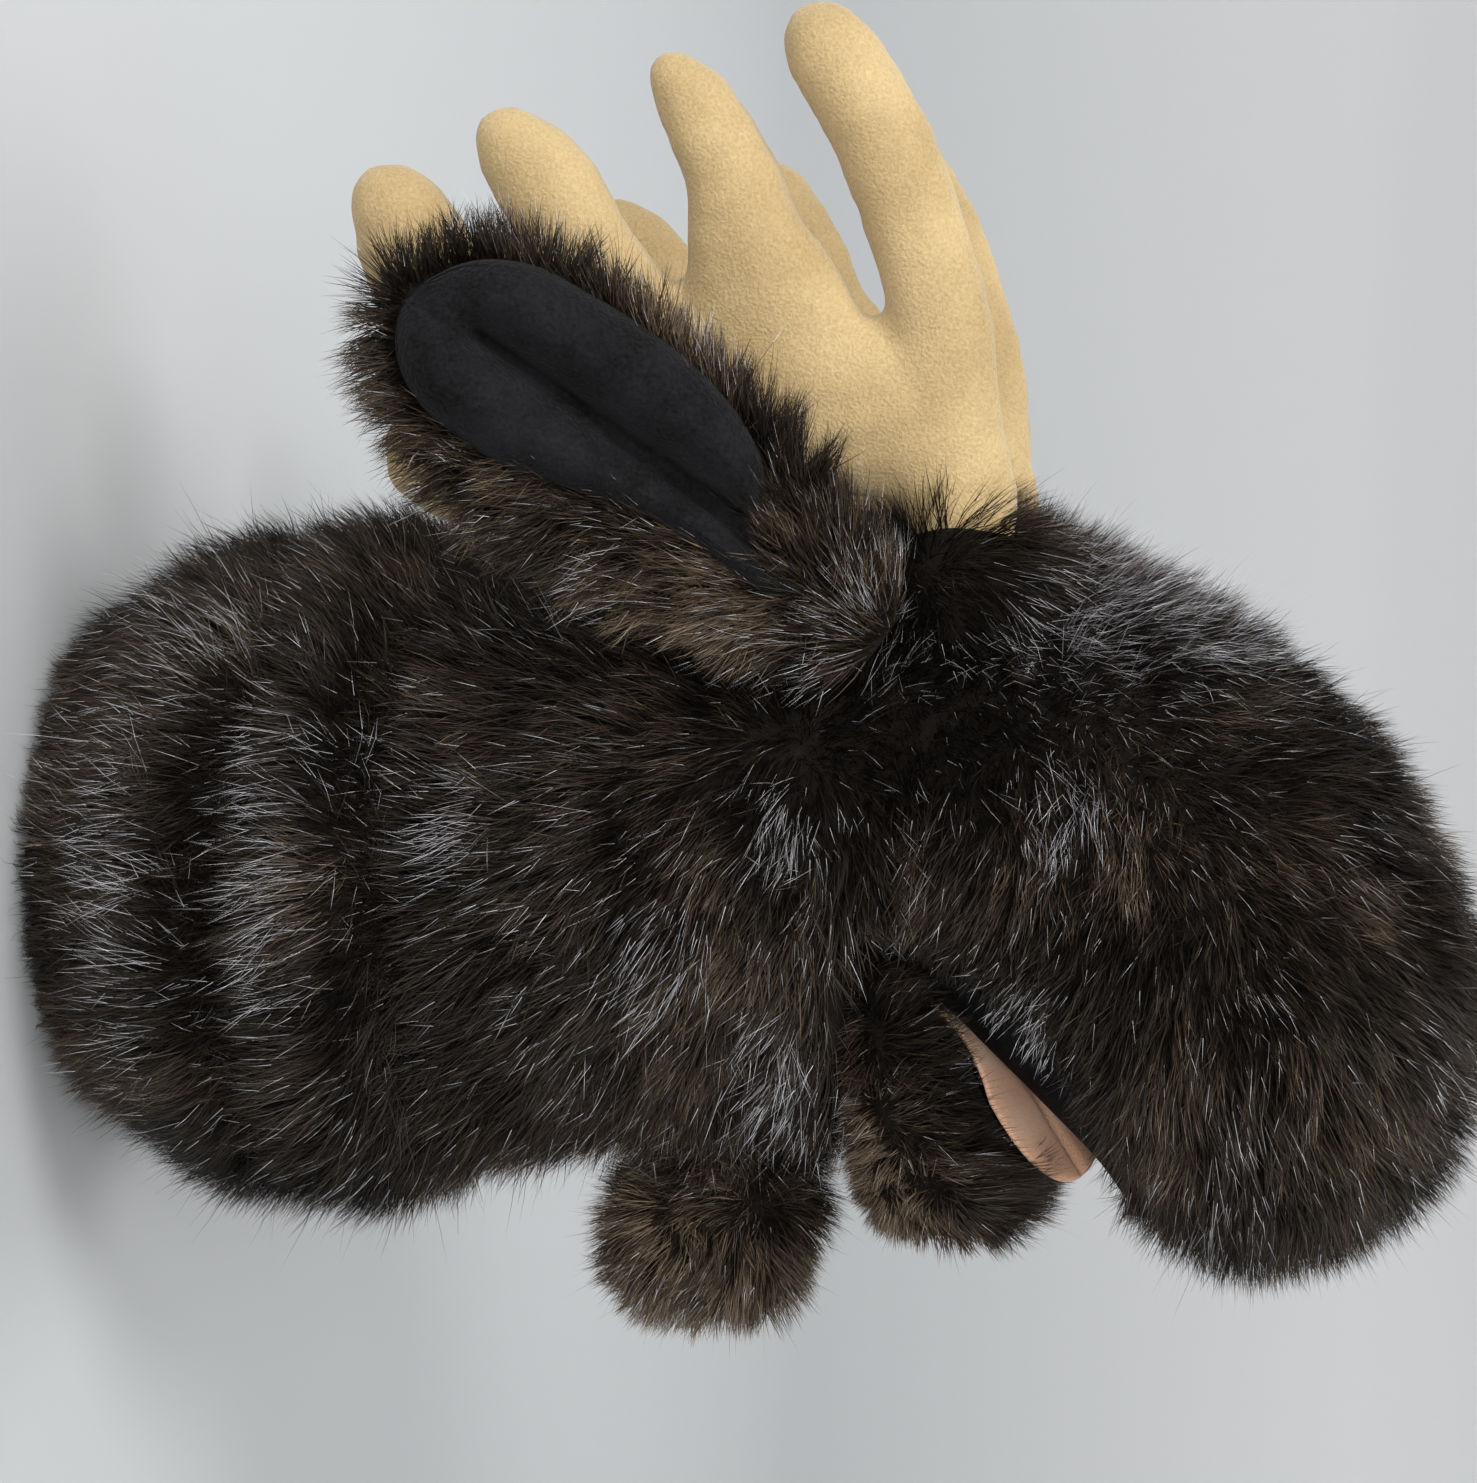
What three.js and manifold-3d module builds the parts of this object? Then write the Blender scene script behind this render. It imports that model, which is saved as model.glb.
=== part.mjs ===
// A plush moose hand puppet, standing on its sleeve opening, in millimetres.
// +Z runs up the sleeve to the nose, +X is the throat side, -Y is the moose's right side.
import * as THREE from "three";
import { LoftGeometry } from "three/addons/geometries/LoftGeometry.js";
import { mergeVertices } from "three/addons/utils/BufferGeometryUtils.js";
import Module from "manifold-3d";

const wasm = await Module();
wasm.setup();

// ---- driving dimensions ----
const GAP = 0.3; // between pieces that touch or are sewn together
const STUFFING_GAP = 0.8; // between a filling and the panels round it
const PLUSH = 4; // thickness of a fur panel with its pile pressed flat
const CLOTH = 1.8; // thickness of lining cloth
const CUT_PAST = 20; // a cutting shape reaches this far past an open end
const RING_POINTS = 28;
const SMALL_RING_POINTS = 16;

const HEM_HEIGHT = 10;
const HEM_WIDTH = 6;
const SLEEVE_TOP = 95; // the sleeve panels end here and the soft wrist begins
const HEAD_BOTTOM = 165; // the nape and throat panels begin here
const NAPE_TOP = 206; // seam between the nape and the head panels
const TUBE_TOP = 232; // hidden inside the head
const THROAT_X = 15; // seam between the nape and the throat panel
const NECK_BEND_INSET = 1;

// The tube of sleeve, wrist and nape: height, centre in X, half width in X, half width in Y.
const TUBE = [
  [0, -2, 56, 52],
  [12, -1, 68, 62],
  [37, 0, 83, 78],
  [69, 0, 92, 87],
  [SLEEVE_TOP, -1, 88, 83],
  [130, -3, 80, 77],
  [HEAD_BOTTOM, -5, 78, 73],
  [NAPE_TOP, -5, 79, 70],
  [TUBE_TOP, -10, 70, 62],
];

// The head points up and forward. Its frame: f runs forward to the nose, u runs up to the bridge.
const HEAD_ORIGIN = new THREE.Vector3(-30, 0, 237);
const HEAD_PITCH = THREE.MathUtils.degToRad(46);
const FORWARD = new THREE.Vector3(Math.cos(HEAD_PITCH), 0, Math.sin(HEAD_PITCH));
const UP = new THREE.Vector3(-Math.sin(HEAD_PITCH), 0, Math.cos(HEAD_PITCH));
// Sections of the head: f, centre in u, half height, half width.
const HEAD = [
  [-60, 5, 14, 18],
  [-50, 4, 35, 42],
  [-25, 4, 54, 58],
  [0, 9, 59, 67],
  [25, 8, 67, 72],
  [51, 9, 69, 77],
  [80, 8, 69, 81],
  [111, 8, 59, 79],
  [136, 3, 51, 66],
  [151, 0, 38, 50],
  [160, 0, 19, 27],
];
const HEAD_POWER = 2.2; // of the superellipse of each section, where 2 is an ellipse
const HEAD_MIDDLE_F = 50;
const MUZZLE_START_F = 30;
const CROWN_END_F = -4;
const BRIDGE_HALF_WIDTH = 24;
const CROWN_HALF_WIDTH = 30;
const PALATE_U = -46; // the flat underside of the upper jaw
const PALATE_THICKNESS = 3;
const PALATE_BACK_F = 34;
const MOUTH_BACK_F = 15;
const LIP_F = 118; // the fur of the upper lip curls under in front of the palate
const STUFFING_START = 8; // the filling begins this far above the nape seam

const POCKET_BASE = new THREE.Vector3(-9, 0, 208);
const POCKET_TILT = THREE.MathUtils.degToRad(20);
const POCKET_LENGTH = 86;
const POCKET_HALF = [16, 43]; // half depth and half width over the cloth
const POCKET_POWER = 2.6;
const POCKET_LIP = 1; // straight part at the open end
// The pocket narrows to its closed end: share of the length, share of the width.
const POCKET_TAPER = [
  [0.55, 0.96],
  [0.85, 0.84],
  [1, 0.6],
];

const MOUTH_BACK_X = 12;
const JAW_FLOOR = 210;
const JAW_PLANE = { x: 20, z: 219, slope: Math.tan(THREE.MathUtils.degToRad(26)) };
// Sections of the lower jaw along X: x, lowest z, highest z, half width.
const JAW = [
  [19, 210, 226, 38],
  [40, 209.5, 238, 47],
  [64, 210, 248, 50],
  [82, 212, 257, 46],
  [92, 219, 252, 34],
];
const JAW_POWER = 3;
const THUMB_CENTRE_X = 66;
const THUMB_HALF = [15, 14]; // at the open end of the thumb pocket
const THUMB_TOP = 230;
const THUMB_TAPER = 0.01; // share of the width lost per millimetre of depth

const TONGUE_ROOT = [38, 229];
const TONGUE_TIP = [87, 273];
const TONGUE_HALF_WIDTH = 25;
const TONGUE_ROOT_SHARE = 0.8; // the tongue is narrower at its root
const TONGUE_THICKNESS = 3;

// Sections of the dewlap along X, away from the throat: x, lowest z, highest z, half width.
const DEWLAP = [
  [78.5, 153, 198, 25],
  [88, 147, 201, 29],
  [100, 143, 199, 28],
  [109, 147, 195, 22],
  [114, 157, 185, 12],
];
const DEWLAP_POWER = 2.4;

const ANTLER_ROOT_Y = 38;
const ANTLER_ROOT_X = -72;
const ANTLER_SPLAY = THREE.MathUtils.degToRad(13);
const ANTLER_HALF_THICKNESS = 11;
const ANTLER_CLOTH = 2.2;
const ANTLER_RING_POINTS = 8;
const ANTLER_CORE_POINTS = 6;
// The stem, the palm and four tines, each as rows of x, z and half width in the antler's own plane.
const ANTLER = {
  stem: [
    [-58, 244, 11],
    [-78, 243.5, 12.5],
    [-95, 242, 15.5],
    [-112, 236, 18],
  ],
  palm: [
    [-104, 248, 8],
    [-111, 238, 19],
    [-118, 212, 24],
    [-118, 184, 27],
    [-114, 152, 25],
    [-110, 128, 23],
    [-108, 110, 19],
    [-107, 97, 8],
  ],
  tine_1: [
    [-108, 240, 15],
    [-141, 238, 12.8],
    [-165, 231.5, 12.6],
    [-184, 224.4, 12.6],
    [-197, 217.5, 11.9],
    [-208, 210.3, 10],
    [-214, 206, 4],
  ],
  tine_2: [
    [-128, 199, 23],
    [-140, 196.5, 21.5],
    [-152, 193, 18.5],
    [-162, 190.5, 14.7],
    [-175, 188, 12],
    [-190, 180.5, 10.3],
    [-199, 174, 7.5],
    [-204, 169.5, 3],
  ],
  tine_3: [
    [-124, 167, 20],
    [-155, 150, 14.5],
    [-170, 143.3, 13.6],
    [-180, 135.8, 11.8],
    [-188, 129.5, 8],
    [-192, 126.5, 3],
  ],
  tine_4: [
    [-112, 132, 20],
    [-140, 116, 16.5],
    [-157, 107.5, 15],
    [-168, 103.3, 13],
    [-176, 98, 8.5],
    [-180, 95.5, 3],
  ],
};

const EAR_ROOT = new THREE.Vector3(-58, -57, 224);
const EAR_TIP = new THREE.Vector3(-140, -99, 113);
const EAR_ROOT_GAP = 5;
const EAR_BACK_THICKNESS = 7;
const EAR_ROLL_THICKNESS = 11;
// Half widths along the ear, from root to tip, as [share of the length, half width].
const EAR_BACK = [
  [0.05, 13],
  [0.2, 22],
  [0.45, 30],
  [0.7, 31],
  [0.88, 24],
  [0.97, 11],
];
const EAR_OUTLINE_POINTS = 24;
const EAR_LINING_SHARE = 0.74;
const EAR_LINING_START = 14; // from the ear's root
const EAR_SEAT_DEPTH = 3; // the lining is sewn this deep into the fur back

const EYE_RADIUS = 6;
const EYE_PLACE = [2, 30]; // f and u of the eye
const EYE_SINK = 7;
const EYE_STEM_RADIUS = 2.4;
const EYE_STEM_LENGTH = 14;
const WASHER_RADIUS = 7;
const WASHER_THICKNESS = 2;
const NOSTRIL_PLACE = [149, 10, 36]; // f, u and y of a nostril patch
const NOSTRIL_HALF = [8, 5.6, 4]; // half height, half width and half thickness

// ---- colours ----
const cloth = (color, roughness = 0.95) =>
  new THREE.MeshStandardMaterial({ color, roughness, metalness: 0 });
const FUR = "#2b211a";
const BROWN_FUR = "#3b2d21";
const BLACK_CLOTH = "#17171a";
const FLEECE = "#1f2024";
const TAN = "#e6c88a";
const PEACH = "#dca684";
const FIBRE = "#e9e6df";
const LINING = "#3a3330";
const EYE = "#1a0f08";
const WASHER = "#cfcfc8";

// ---- solids ----
function solid(geometry, matrix) {
  const plain = new THREE.BufferGeometry();
  plain.setAttribute("position", geometry.getAttribute("position").clone());
  plain.setIndex(geometry.getIndex());
  if (matrix) plain.applyMatrix4(matrix);
  const merged = mergeVertices(plain, 1e-4);
  return new wasm.Manifold(
    new wasm.Mesh({
      numProp: 3,
      vertProperties: new Float32Array(merged.attributes.position.array),
      triVerts: new Uint32Array(merged.index.array),
    }),
  );
}

function mesh(name, body, material) {
  const made = body.getMesh();
  const geometry = new THREE.BufferGeometry();
  geometry.setAttribute("position", new THREE.BufferAttribute(made.vertProperties, 3));
  geometry.setIndex(new THREE.BufferAttribute(made.triVerts, 1));
  geometry.computeVertexNormals();
  const piece = new THREE.Mesh(geometry, material);
  piece.name = name;
  return piece;
}

// One closed ring of points; across and deep are unit vectors, power 2 is an ellipse.
function ring(centre, across, deep, a, b, power = 2, count = RING_POINTS) {
  const points = [];
  for (let i = 0; i < count; i += 1) {
    const angle = (i / count) * 2 * Math.PI;
    const c = Math.cos(angle);
    const s = Math.sin(angle);
    const x = Math.sign(c) * Math.abs(c) ** (2 / power) * a;
    const y = Math.sign(s) * Math.abs(s) ** (2 / power) * b;
    points.push(centre.clone().addScaledVector(across, x).addScaledVector(deep, y));
  }
  return points;
}

const loft = (rings) => solid(new LoftGeometry(rings, { capStart: true, capEnd: true }));
const X = new THREE.Vector3(1, 0, 0);
const Y = new THREE.Vector3(0, 1, 0);
const Z = new THREE.Vector3(0, 0, 1);

// The half widths of a table at a height, straight between its rows.
function rowAt(table, place) {
  const next = Math.min(table.length - 1, Math.max(1, table.findIndex((row) => row[0] >= place)));
  const low = table[next - 1];
  const high = table[next];
  const share = (place - low[0]) / (high[0] - low[0]);
  return low.map((value, i) => THREE.MathUtils.lerp(value, high[i], share));
}

// The sleeve tube between two heights, drawn in by an inset.
function tube(from, to, inset) {
  const rows = [rowAt(TUBE, from), ...TUBE.filter(([z]) => z > from && z < to), rowAt(TUBE, to)];
  return loft(
    rows.map(([z, x, a, b]) => ring(new THREE.Vector3(x, 0, z), X, Y, a - inset, b - inset)),
  );
}

const tubeShell = (from, to, outer, inner) =>
  tube(from, to, outer).subtract(tube(from - 1, to + 1, inner));

const headPoint = (f, u, y = 0) =>
  HEAD_ORIGIN.clone().addScaledVector(FORWARD, f).addScaledVector(UP, u).addScaledVector(Y, y);

function headSolid(inset) {
  const halfLength = (HEAD.at(-1)[0] - HEAD[0][0]) / 2;
  const shrink = 1 - inset / halfLength;
  const across = UP;
  const deep = new THREE.Vector3().crossVectors(FORWARD, UP);
  return loft(
    HEAD.map(([f, u, a, b]) =>
      ring(
        headPoint(HEAD_MIDDLE_F + (f - HEAD_MIDDLE_F) * shrink, u),
        across,
        deep,
        a - inset,
        b - inset,
        HEAD_POWER,
      ),
    ),
  );
}

// A box in the head's frame, between two corners [f, u, y].
function headBox(low, high) {
  const size = high.map((value, i) => value - low[i]);
  const middle = high.map((value, i) => (value + low[i]) / 2);
  const side = new THREE.Vector3().crossVectors(FORWARD, UP);
  const turn = new THREE.Matrix4().makeBasis(FORWARD, UP, side);
  const place = headPoint(middle[0], middle[1], middle[2]);
  return solid(new THREE.BoxGeometry(...size), turn.setPosition(place));
}

// A box in the part's frame, between two corners [x, y, z].
function box(low, high) {
  const size = high.map((value, i) => value - low[i]);
  const middle = high.map((value, i) => (value + low[i]) / 2);
  return solid(new THREE.BoxGeometry(...size), new THREE.Matrix4().makeTranslation(...middle));
}

// A prism along Y over an outline of [x, z] points.
function prism(outline, halfWidth) {
  const shape = new THREE.Shape(outline.map(([x, z]) => new THREE.Vector2(x, -z)));
  const geometry = new THREE.ExtrudeGeometry(shape, { depth: 2 * halfWidth, bevelEnabled: false });
  geometry.translate(0, 0, -halfWidth);
  geometry.rotateX(-Math.PI / 2);
  return solid(geometry);
}

const FAR = 400; // reaches past the whole puppet
const MIRROR = new THREE.Vector3(1, -1, 1);

const puppet = new THREE.Group();
const add = (name, body, material) => puppet.add(mesh(name, body, material));
const addLeft = (name, body, material) => {
  const piece = mesh(name, body, material);
  piece.scale.copy(MIRROR);
  puppet.add(piece);
};
const SIDES = [
  ["right", add],
  ["left", addLeft],
];
const rightHalf = (body) => body.subtract(box([-FAR, -GAP / 2, -FAR], [FAR, FAR, 2 * FAR]));
function addPair(name, body, material) {
  const right = rightHalf(body);
  add(`${name}_right`, right, material);
  addLeft(`${name}_left`, right, material);
}

// ---- sleeve ----
add("sleeve_hem", tubeShell(0, HEM_HEIGHT, 0, HEM_WIDTH), cloth(FUR));
addPair("sleeve_panel", tubeShell(HEM_HEIGHT + GAP, SLEEVE_TOP, 0, PLUSH), cloth(FUR));
const liningInset = HEM_WIDTH + GAP;
add("sleeve_lining", tubeShell(1, SLEEVE_TOP, liningInset, liningInset + CLOTH), cloth(LINING, 0.5));
const neckBend = tubeShell(SLEEVE_TOP + GAP, HEAD_BOTTOM - GAP, NECK_BEND_INSET, PLUSH);
add("neck_bend", neckBend, cloth(FUR));

// ---- head shell, with the nape and throat below it ----
const palateLine = (f) => [headPoint(f, PALATE_U).x, headPoint(f, PALATE_U).z];
const lipFront = headPoint(LIP_F, -FAR);
const mouthSpace = prism(
  [
    [MOUTH_BACK_X, NAPE_TOP - 1],
    [MOUTH_BACK_X, palateLine(0)[1]],
    palateLine(MOUTH_BACK_F),
    palateLine(LIP_F),
    [lipFront.x, lipFront.z],
  ],
  FAR,
);
const outerHead = headSolid(0).add(tube(HEAD_BOTTOM, TUBE_TOP, 0));
const innerHead = headSolid(PLUSH).add(tube(HEAD_BOTTOM - 1, TUBE_TOP - 1, PLUSH));
const skin = outerHead.subtract(innerHead);
const belowNape = box([-FAR, -FAR, HEAD_BOTTOM], [FAR, FAR, NAPE_TOP - GAP]);
const aboveNape = box([-FAR, -FAR, NAPE_TOP], [FAR, FAR, 2 * FAR]);
const behindThroat = box([-FAR, -FAR, -FAR], [THROAT_X, FAR, FAR]);
const napeRing = tubeShell(HEAD_BOTTOM, NAPE_TOP - GAP, 0, PLUSH).intersect(belowNape);
addPair("nape_panel", napeRing.intersect(behindThroat), cloth(FUR));
const inThroat = box([THROAT_X + GAP, -FAR, -FAR], [FAR, FAR, FAR]);
add("throat_panel", napeRing.intersect(inThroat), cloth(FUR));

const headSkin = skin.intersect(aboveNape).subtract(mouthSpace);
const crownBox = headBox([-FAR, 0, -CROWN_HALF_WIDTH], [CROWN_END_F, FAR, CROWN_HALF_WIDTH]);
const bridgeBox = headBox([MUZZLE_START_F, 0, -BRIDGE_HALF_WIDTH], [FAR, FAR, BRIDGE_HALF_WIDTH]);
const grown = (low, high) =>
  headBox(
    low.map((v) => v - GAP),
    high.map((v) => v + GAP),
  );
const crownCut = grown([-FAR, 0, -CROWN_HALF_WIDTH], [CROWN_END_F, FAR, CROWN_HALF_WIDTH]);
const bridgeCut = grown([MUZZLE_START_F, 0, -BRIDGE_HALF_WIDTH], [FAR, FAR, BRIDGE_HALF_WIDTH]);
const cheekZone = headBox([-FAR, -FAR, -FAR], [MUZZLE_START_F - GAP, FAR, FAR]);
const muzzleZone = headBox([MUZZLE_START_F, -FAR, -FAR], [FAR, FAR, FAR]);

add("crown_panel", headSkin.intersect(crownBox), cloth(FUR));
add("muzzle_bridge", headSkin.intersect(bridgeBox), cloth(FUR));

// ---- eyes and nostrils, pressed into the skin ----
function onSkin(f, u, side, depth) {
  const from = headPoint(f, u, side * FAR);
  const row = rowAt(HEAD, f);
  const height = Math.abs((u - row[1]) / row[2]);
  const width = row[3] * (1 - height ** HEAD_POWER) ** (1 / HEAD_POWER);
  return from.setY(side * (width - depth));
}
// The eye is a ball with a stem behind it, and the washer locks on the stem inside the head.
const eyeCentre = onSkin(...EYE_PLACE, -1, EYE_SINK);
function eye(grow) {
  const place = new THREE.Matrix4().setPosition(eyeCentre);
  const ball = solid(new THREE.SphereGeometry(EYE_RADIUS + grow, 12, 8), place);
  const radius = EYE_STEM_RADIUS + grow;
  const stem = new THREE.CylinderGeometry(radius, radius, EYE_STEM_LENGTH + grow, 8);
  return ball.add(solid(stem.translate(0, (EYE_STEM_LENGTH + grow) / 2, 0), place));
}
const eyeHole = eye(GAP);
function washerDisc(grow) {
  const radius = WASHER_RADIUS + grow;
  const disc = new THREE.CylinderGeometry(radius, radius, WASHER_THICKNESS + 2 * grow, 14);
  const place = eyeCentre.clone().addScaledVector(Y, EYE_RADIUS + WASHER_THICKNESS);
  return solid(disc, new THREE.Matrix4().setPosition(place));
}

const cheekSkin = headSkin.intersect(cheekZone).subtract(crownCut).subtract(eyeHole);
const muzzleSkin = headSkin.intersect(muzzleZone).subtract(bridgeCut);

const nostrilCentre = headPoint(...NOSTRIL_PLACE);
nostrilCentre.y *= -1;
const nostrilTurn = new THREE.Matrix4().makeBasis(
  new THREE.Vector3().crossVectors(Y, FORWARD),
  Y,
  FORWARD,
);
function nostril(grow) {
  const half = new THREE.Vector3(...NOSTRIL_HALF).addScalar(grow);
  const place = nostrilTurn.clone().setPosition(nostrilCentre).scale(half);
  return solid(new THREE.SphereGeometry(1, 10, 6), place);
}
const nostrilHole = nostril(2 * GAP);

addPair("cheek", cheekSkin, cloth(FUR));
addPair("muzzle", muzzleSkin.subtract(nostrilHole), cloth(FUR));

// ---- fillings and finger pocket ----
function pocket(inset, extraBelow) {
  const along = new THREE.Vector3(Math.sin(POCKET_TILT), 0, Math.cos(POCKET_TILT));
  const across = new THREE.Vector3().crossVectors(Y, along);
  const narrowing = POCKET_TAPER.map(([place, share]) => [place * (POCKET_LENGTH - inset), share]);
  const rows = [[-extraBelow, 1], [POCKET_LIP, 1], ...narrowing];
  return loft(
    rows.map(([length, share]) => {
      const centre = POCKET_BASE.clone().addScaledVector(along, length);
      const half = POCKET_HALF.map((value) => value * share - inset);
      return ring(centre, across, Y, ...half, POCKET_POWER, SMALL_RING_POINTS);
    }),
  );
}
const pocketSpace = pocket(-GAP, CUT_PAST);
const floorCut = box([-FAR, -FAR, -FAR], [FAR, FAR, NAPE_TOP + STUFFING_START]);
const stuffing = headSolid(PLUSH + STUFFING_GAP).subtract(floorCut).subtract(mouthSpace);
const washerSpace = washerDisc(GAP);
const washerSpaces = washerSpace.add(washerSpace.mirror([0, 1, 0]));
const eyeHoles = eyeHole.add(eyeHole.mirror([0, 1, 0]));
const nostrilHoles = nostrilHole.add(nostrilHole.mirror([0, 1, 0]));
const packed = stuffing.subtract(pocketSpace).subtract(washerSpaces).subtract(eyeHoles);
add("crown_filling", packed.intersect(cheekZone), cloth(FIBRE));
add("muzzle_filling", packed.intersect(muzzleZone).subtract(nostrilHoles), cloth(FIBRE));
const pocketCloth = pocket(0, 0).subtract(pocket(CLOTH, CUT_PAST));
add("finger_pocket", pocketCloth, cloth(LINING, 0.5));

for (const [side, place] of SIDES) {
  place(`eye_${side}`, eye(0), cloth(EYE, 0.15));
  place(`eye_washer_${side}`, washerDisc(0).subtract(eyeHole), cloth(WASHER, 0.6));
  place(`nostril_${side}`, nostril(0), cloth(BLACK_CLOTH));
}

// ---- upper palate: a flat cloth pad under the muzzle ----
const palateSlab = headBox(
  [PALATE_BACK_F, PALATE_U - PALATE_THICKNESS - GAP, -FAR],
  [LIP_F - 1, PALATE_U - GAP, FAR],
);
add("upper_palate", headSolid(PLUSH).intersect(palateSlab), cloth(BLACK_CLOTH));

// ---- lower jaw ----
function jawSolid(inset) {
  return loft(
    JAW.map(([x, low, high, half], i) => {
      const endShift = i === 0 ? inset : i === JAW.length - 1 ? -inset : 0;
      const centre = new THREE.Vector3(x + endShift, 0, (low + high) / 2);
      const halfHeight = (high - low) / 2 - inset;
      return ring(centre, Y, Z, half - inset, halfHeight, JAW_POWER, SMALL_RING_POINTS);
    }),
  );
}
const jawLine = (x, drop) => [x, JAW_PLANE.z + (x - JAW_PLANE.x) * JAW_PLANE.slope - drop];
const underJawPlane = (drop) =>
  prism([[-FAR, -FAR], [FAR, -FAR], jawLine(FAR, drop), jawLine(-FAR, drop)], FAR);
const thumbSolid = (inset, below) =>
  loft(
    [JAW_FLOOR - below, THUMB_TOP - inset].map((z) => {
      const share = 1 - (z - JAW_FLOOR) * THUMB_TAPER;
      const half = THUMB_HALF.map((value) => value * share - inset);
      const centre = new THREE.Vector3(THUMB_CENTRE_X, 0, z);
      return ring(centre, X, Y, ...half, POCKET_POWER, SMALL_RING_POINTS);
    }),
  );
const palateDrop = PALATE_THICKNESS + GAP;
const jawBody = jawSolid(0).intersect(underJawPlane(palateDrop));
const jawHollow = jawSolid(PLUSH);
const thumbSpace = thumbSolid(-GAP, CUT_PAST);
add("jaw_cover", jawBody.subtract(jawHollow).subtract(thumbSpace), cloth(BROWN_FUR));
const jawInside = jawSolid(PLUSH + STUFFING_GAP).intersect(underJawPlane(palateDrop + GAP));
add("jaw_filling", jawInside.subtract(thumbSpace), cloth(FIBRE));
const jawTop = jawSolid(0).intersect(underJawPlane(0)).subtract(underJawPlane(PALATE_THICKNESS));
add("lower_palate", jawTop, cloth(BLACK_CLOTH));
add("thumb_pocket", thumbSolid(0, 0).subtract(thumbSolid(CLOTH, CUT_PAST)), cloth(LINING, 0.5));

// ---- tongue: a rounded strip of felt ----
const tongueRun = [TONGUE_TIP[0] - TONGUE_ROOT[0], TONGUE_TIP[1] - TONGUE_ROOT[1]];
const tongueLength = Math.hypot(...tongueRun);
const tipCentre = tongueLength - TONGUE_HALF_WIDTH;
const rootHalf = TONGUE_HALF_WIDTH * TONGUE_ROOT_SHARE;
const tongueShape = new THREE.Shape();
tongueShape.moveTo(0, -rootHalf);
tongueShape.lineTo(tipCentre, -TONGUE_HALF_WIDTH);
tongueShape.absarc(tipCentre, 0, TONGUE_HALF_WIDTH, -Math.PI / 2, Math.PI / 2);
tongueShape.lineTo(0, rootHalf);
const tongueGeometry = new THREE.ExtrudeGeometry(tongueShape, {
  depth: TONGUE_THICKNESS,
  bevelEnabled: false,
  curveSegments: 10,
});
const tongueAlong = new THREE.Vector3(tongueRun[0], 0, tongueRun[1]).normalize();
const tongueTurn = new THREE.Matrix4().makeBasis(
  tongueAlong,
  Y,
  new THREE.Vector3().crossVectors(tongueAlong, Y),
);
tongueTurn.setPosition(TONGUE_ROOT[0], 0, TONGUE_ROOT[1]);
add("tongue", solid(tongueGeometry, tongueTurn), cloth(PEACH));

// ---- dewlap: a small stuffed bag under the jaw ----
function dewlapSolid(inset) {
  return loft(
    DEWLAP.map(([x, low, high, half], i) => {
      const endShift = i === 0 ? inset : i === DEWLAP.length - 1 ? -inset : 0;
      const centre = new THREE.Vector3(x + endShift, 0, (low + high) / 2);
      const halfHeight = (high - low) / 2 - inset;
      return ring(centre, Y, Z, half - inset, halfHeight, DEWLAP_POWER, SMALL_RING_POINTS);
    }),
  );
}
addPair("dewlap_skin", dewlapSolid(0).subtract(dewlapSolid(PLUSH)), cloth(BROWN_FUR));
add("dewlap_filling", dewlapSolid(PLUSH + STUFFING_GAP), cloth(FIBRE));

// ---- antlers: two sewn faces round a filling, rooted on the crown ----
const antlerPlace = new THREE.Matrix4()
  .makeRotationZ(ANTLER_SPLAY)
  .setPosition(ANTLER_ROOT_X, -ANTLER_ROOT_Y, 0);

const LEAST_HALF = 0.5; // a branch's end ring never shrinks below this
// One stuffed branch: rings along its middle line, flattened where it is wider than it is thick.
function branch(rows, inset, count) {
  const line = rows.map(([x, z]) => new THREE.Vector3(x - ANTLER_ROOT_X, 0, z));
  const last = line.length - 1;
  return line.map((point, i) => {
    const ahead = line[Math.min(i + 1, last)].clone().sub(line[Math.max(i - 1, 0)]).normalize();
    const end = i === 0 ? inset : i === last ? -inset : 0;
    const half = rows[i][2] - inset;
    const deep = Math.min(rows[i][2], ANTLER_HALF_THICKNESS) - inset;
    return ring(
      point.clone().addScaledVector(ahead, end),
      new THREE.Vector3().crossVectors(Y, ahead),
      Y,
      Math.max(half, LEAST_HALF),
      Math.max(deep, LEAST_HALF),
      2,
      count,
    );
  });
}
const antlerSolid = (inset, count) =>
  Object.values(ANTLER)
    .map((rows) => new LoftGeometry(branch(rows, inset, count), { capStart: true, capEnd: true }))
    .map((geometry) => solid(geometry, antlerPlace))
    .reduce((whole, part) => whole.add(part));
const antlerPlane = (from, to) =>
  solid(
    new THREE.BoxGeometry(2 * FAR, to - from, 2 * FAR).translate(0, (from + to) / 2, FAR / 2),
    antlerPlace,
  );
const wholeAntler = antlerSolid(0, ANTLER_RING_POINTS).subtract(headSolid(-GAP));
const antlerSkin = wholeAntler.subtract(antlerSolid(ANTLER_CLOTH, ANTLER_CORE_POINTS));
const stemCut = headSolid(-GAP - ANTLER_CLOTH);
const antlerCore = antlerSolid(ANTLER_CLOTH + GAP, ANTLER_CORE_POINTS).subtract(stemCut);
for (const [side, place] of SIDES) {
  place(`antler_${side}_outer`, antlerSkin.intersect(antlerPlane(-FAR, -GAP / 2)), cloth(TAN));
  place(`antler_${side}_inner`, antlerSkin.intersect(antlerPlane(GAP / 2, FAR)), cloth(TAN));
  place(`antler_${side}_filling`, antlerCore, cloth(FIBRE));
}

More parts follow.
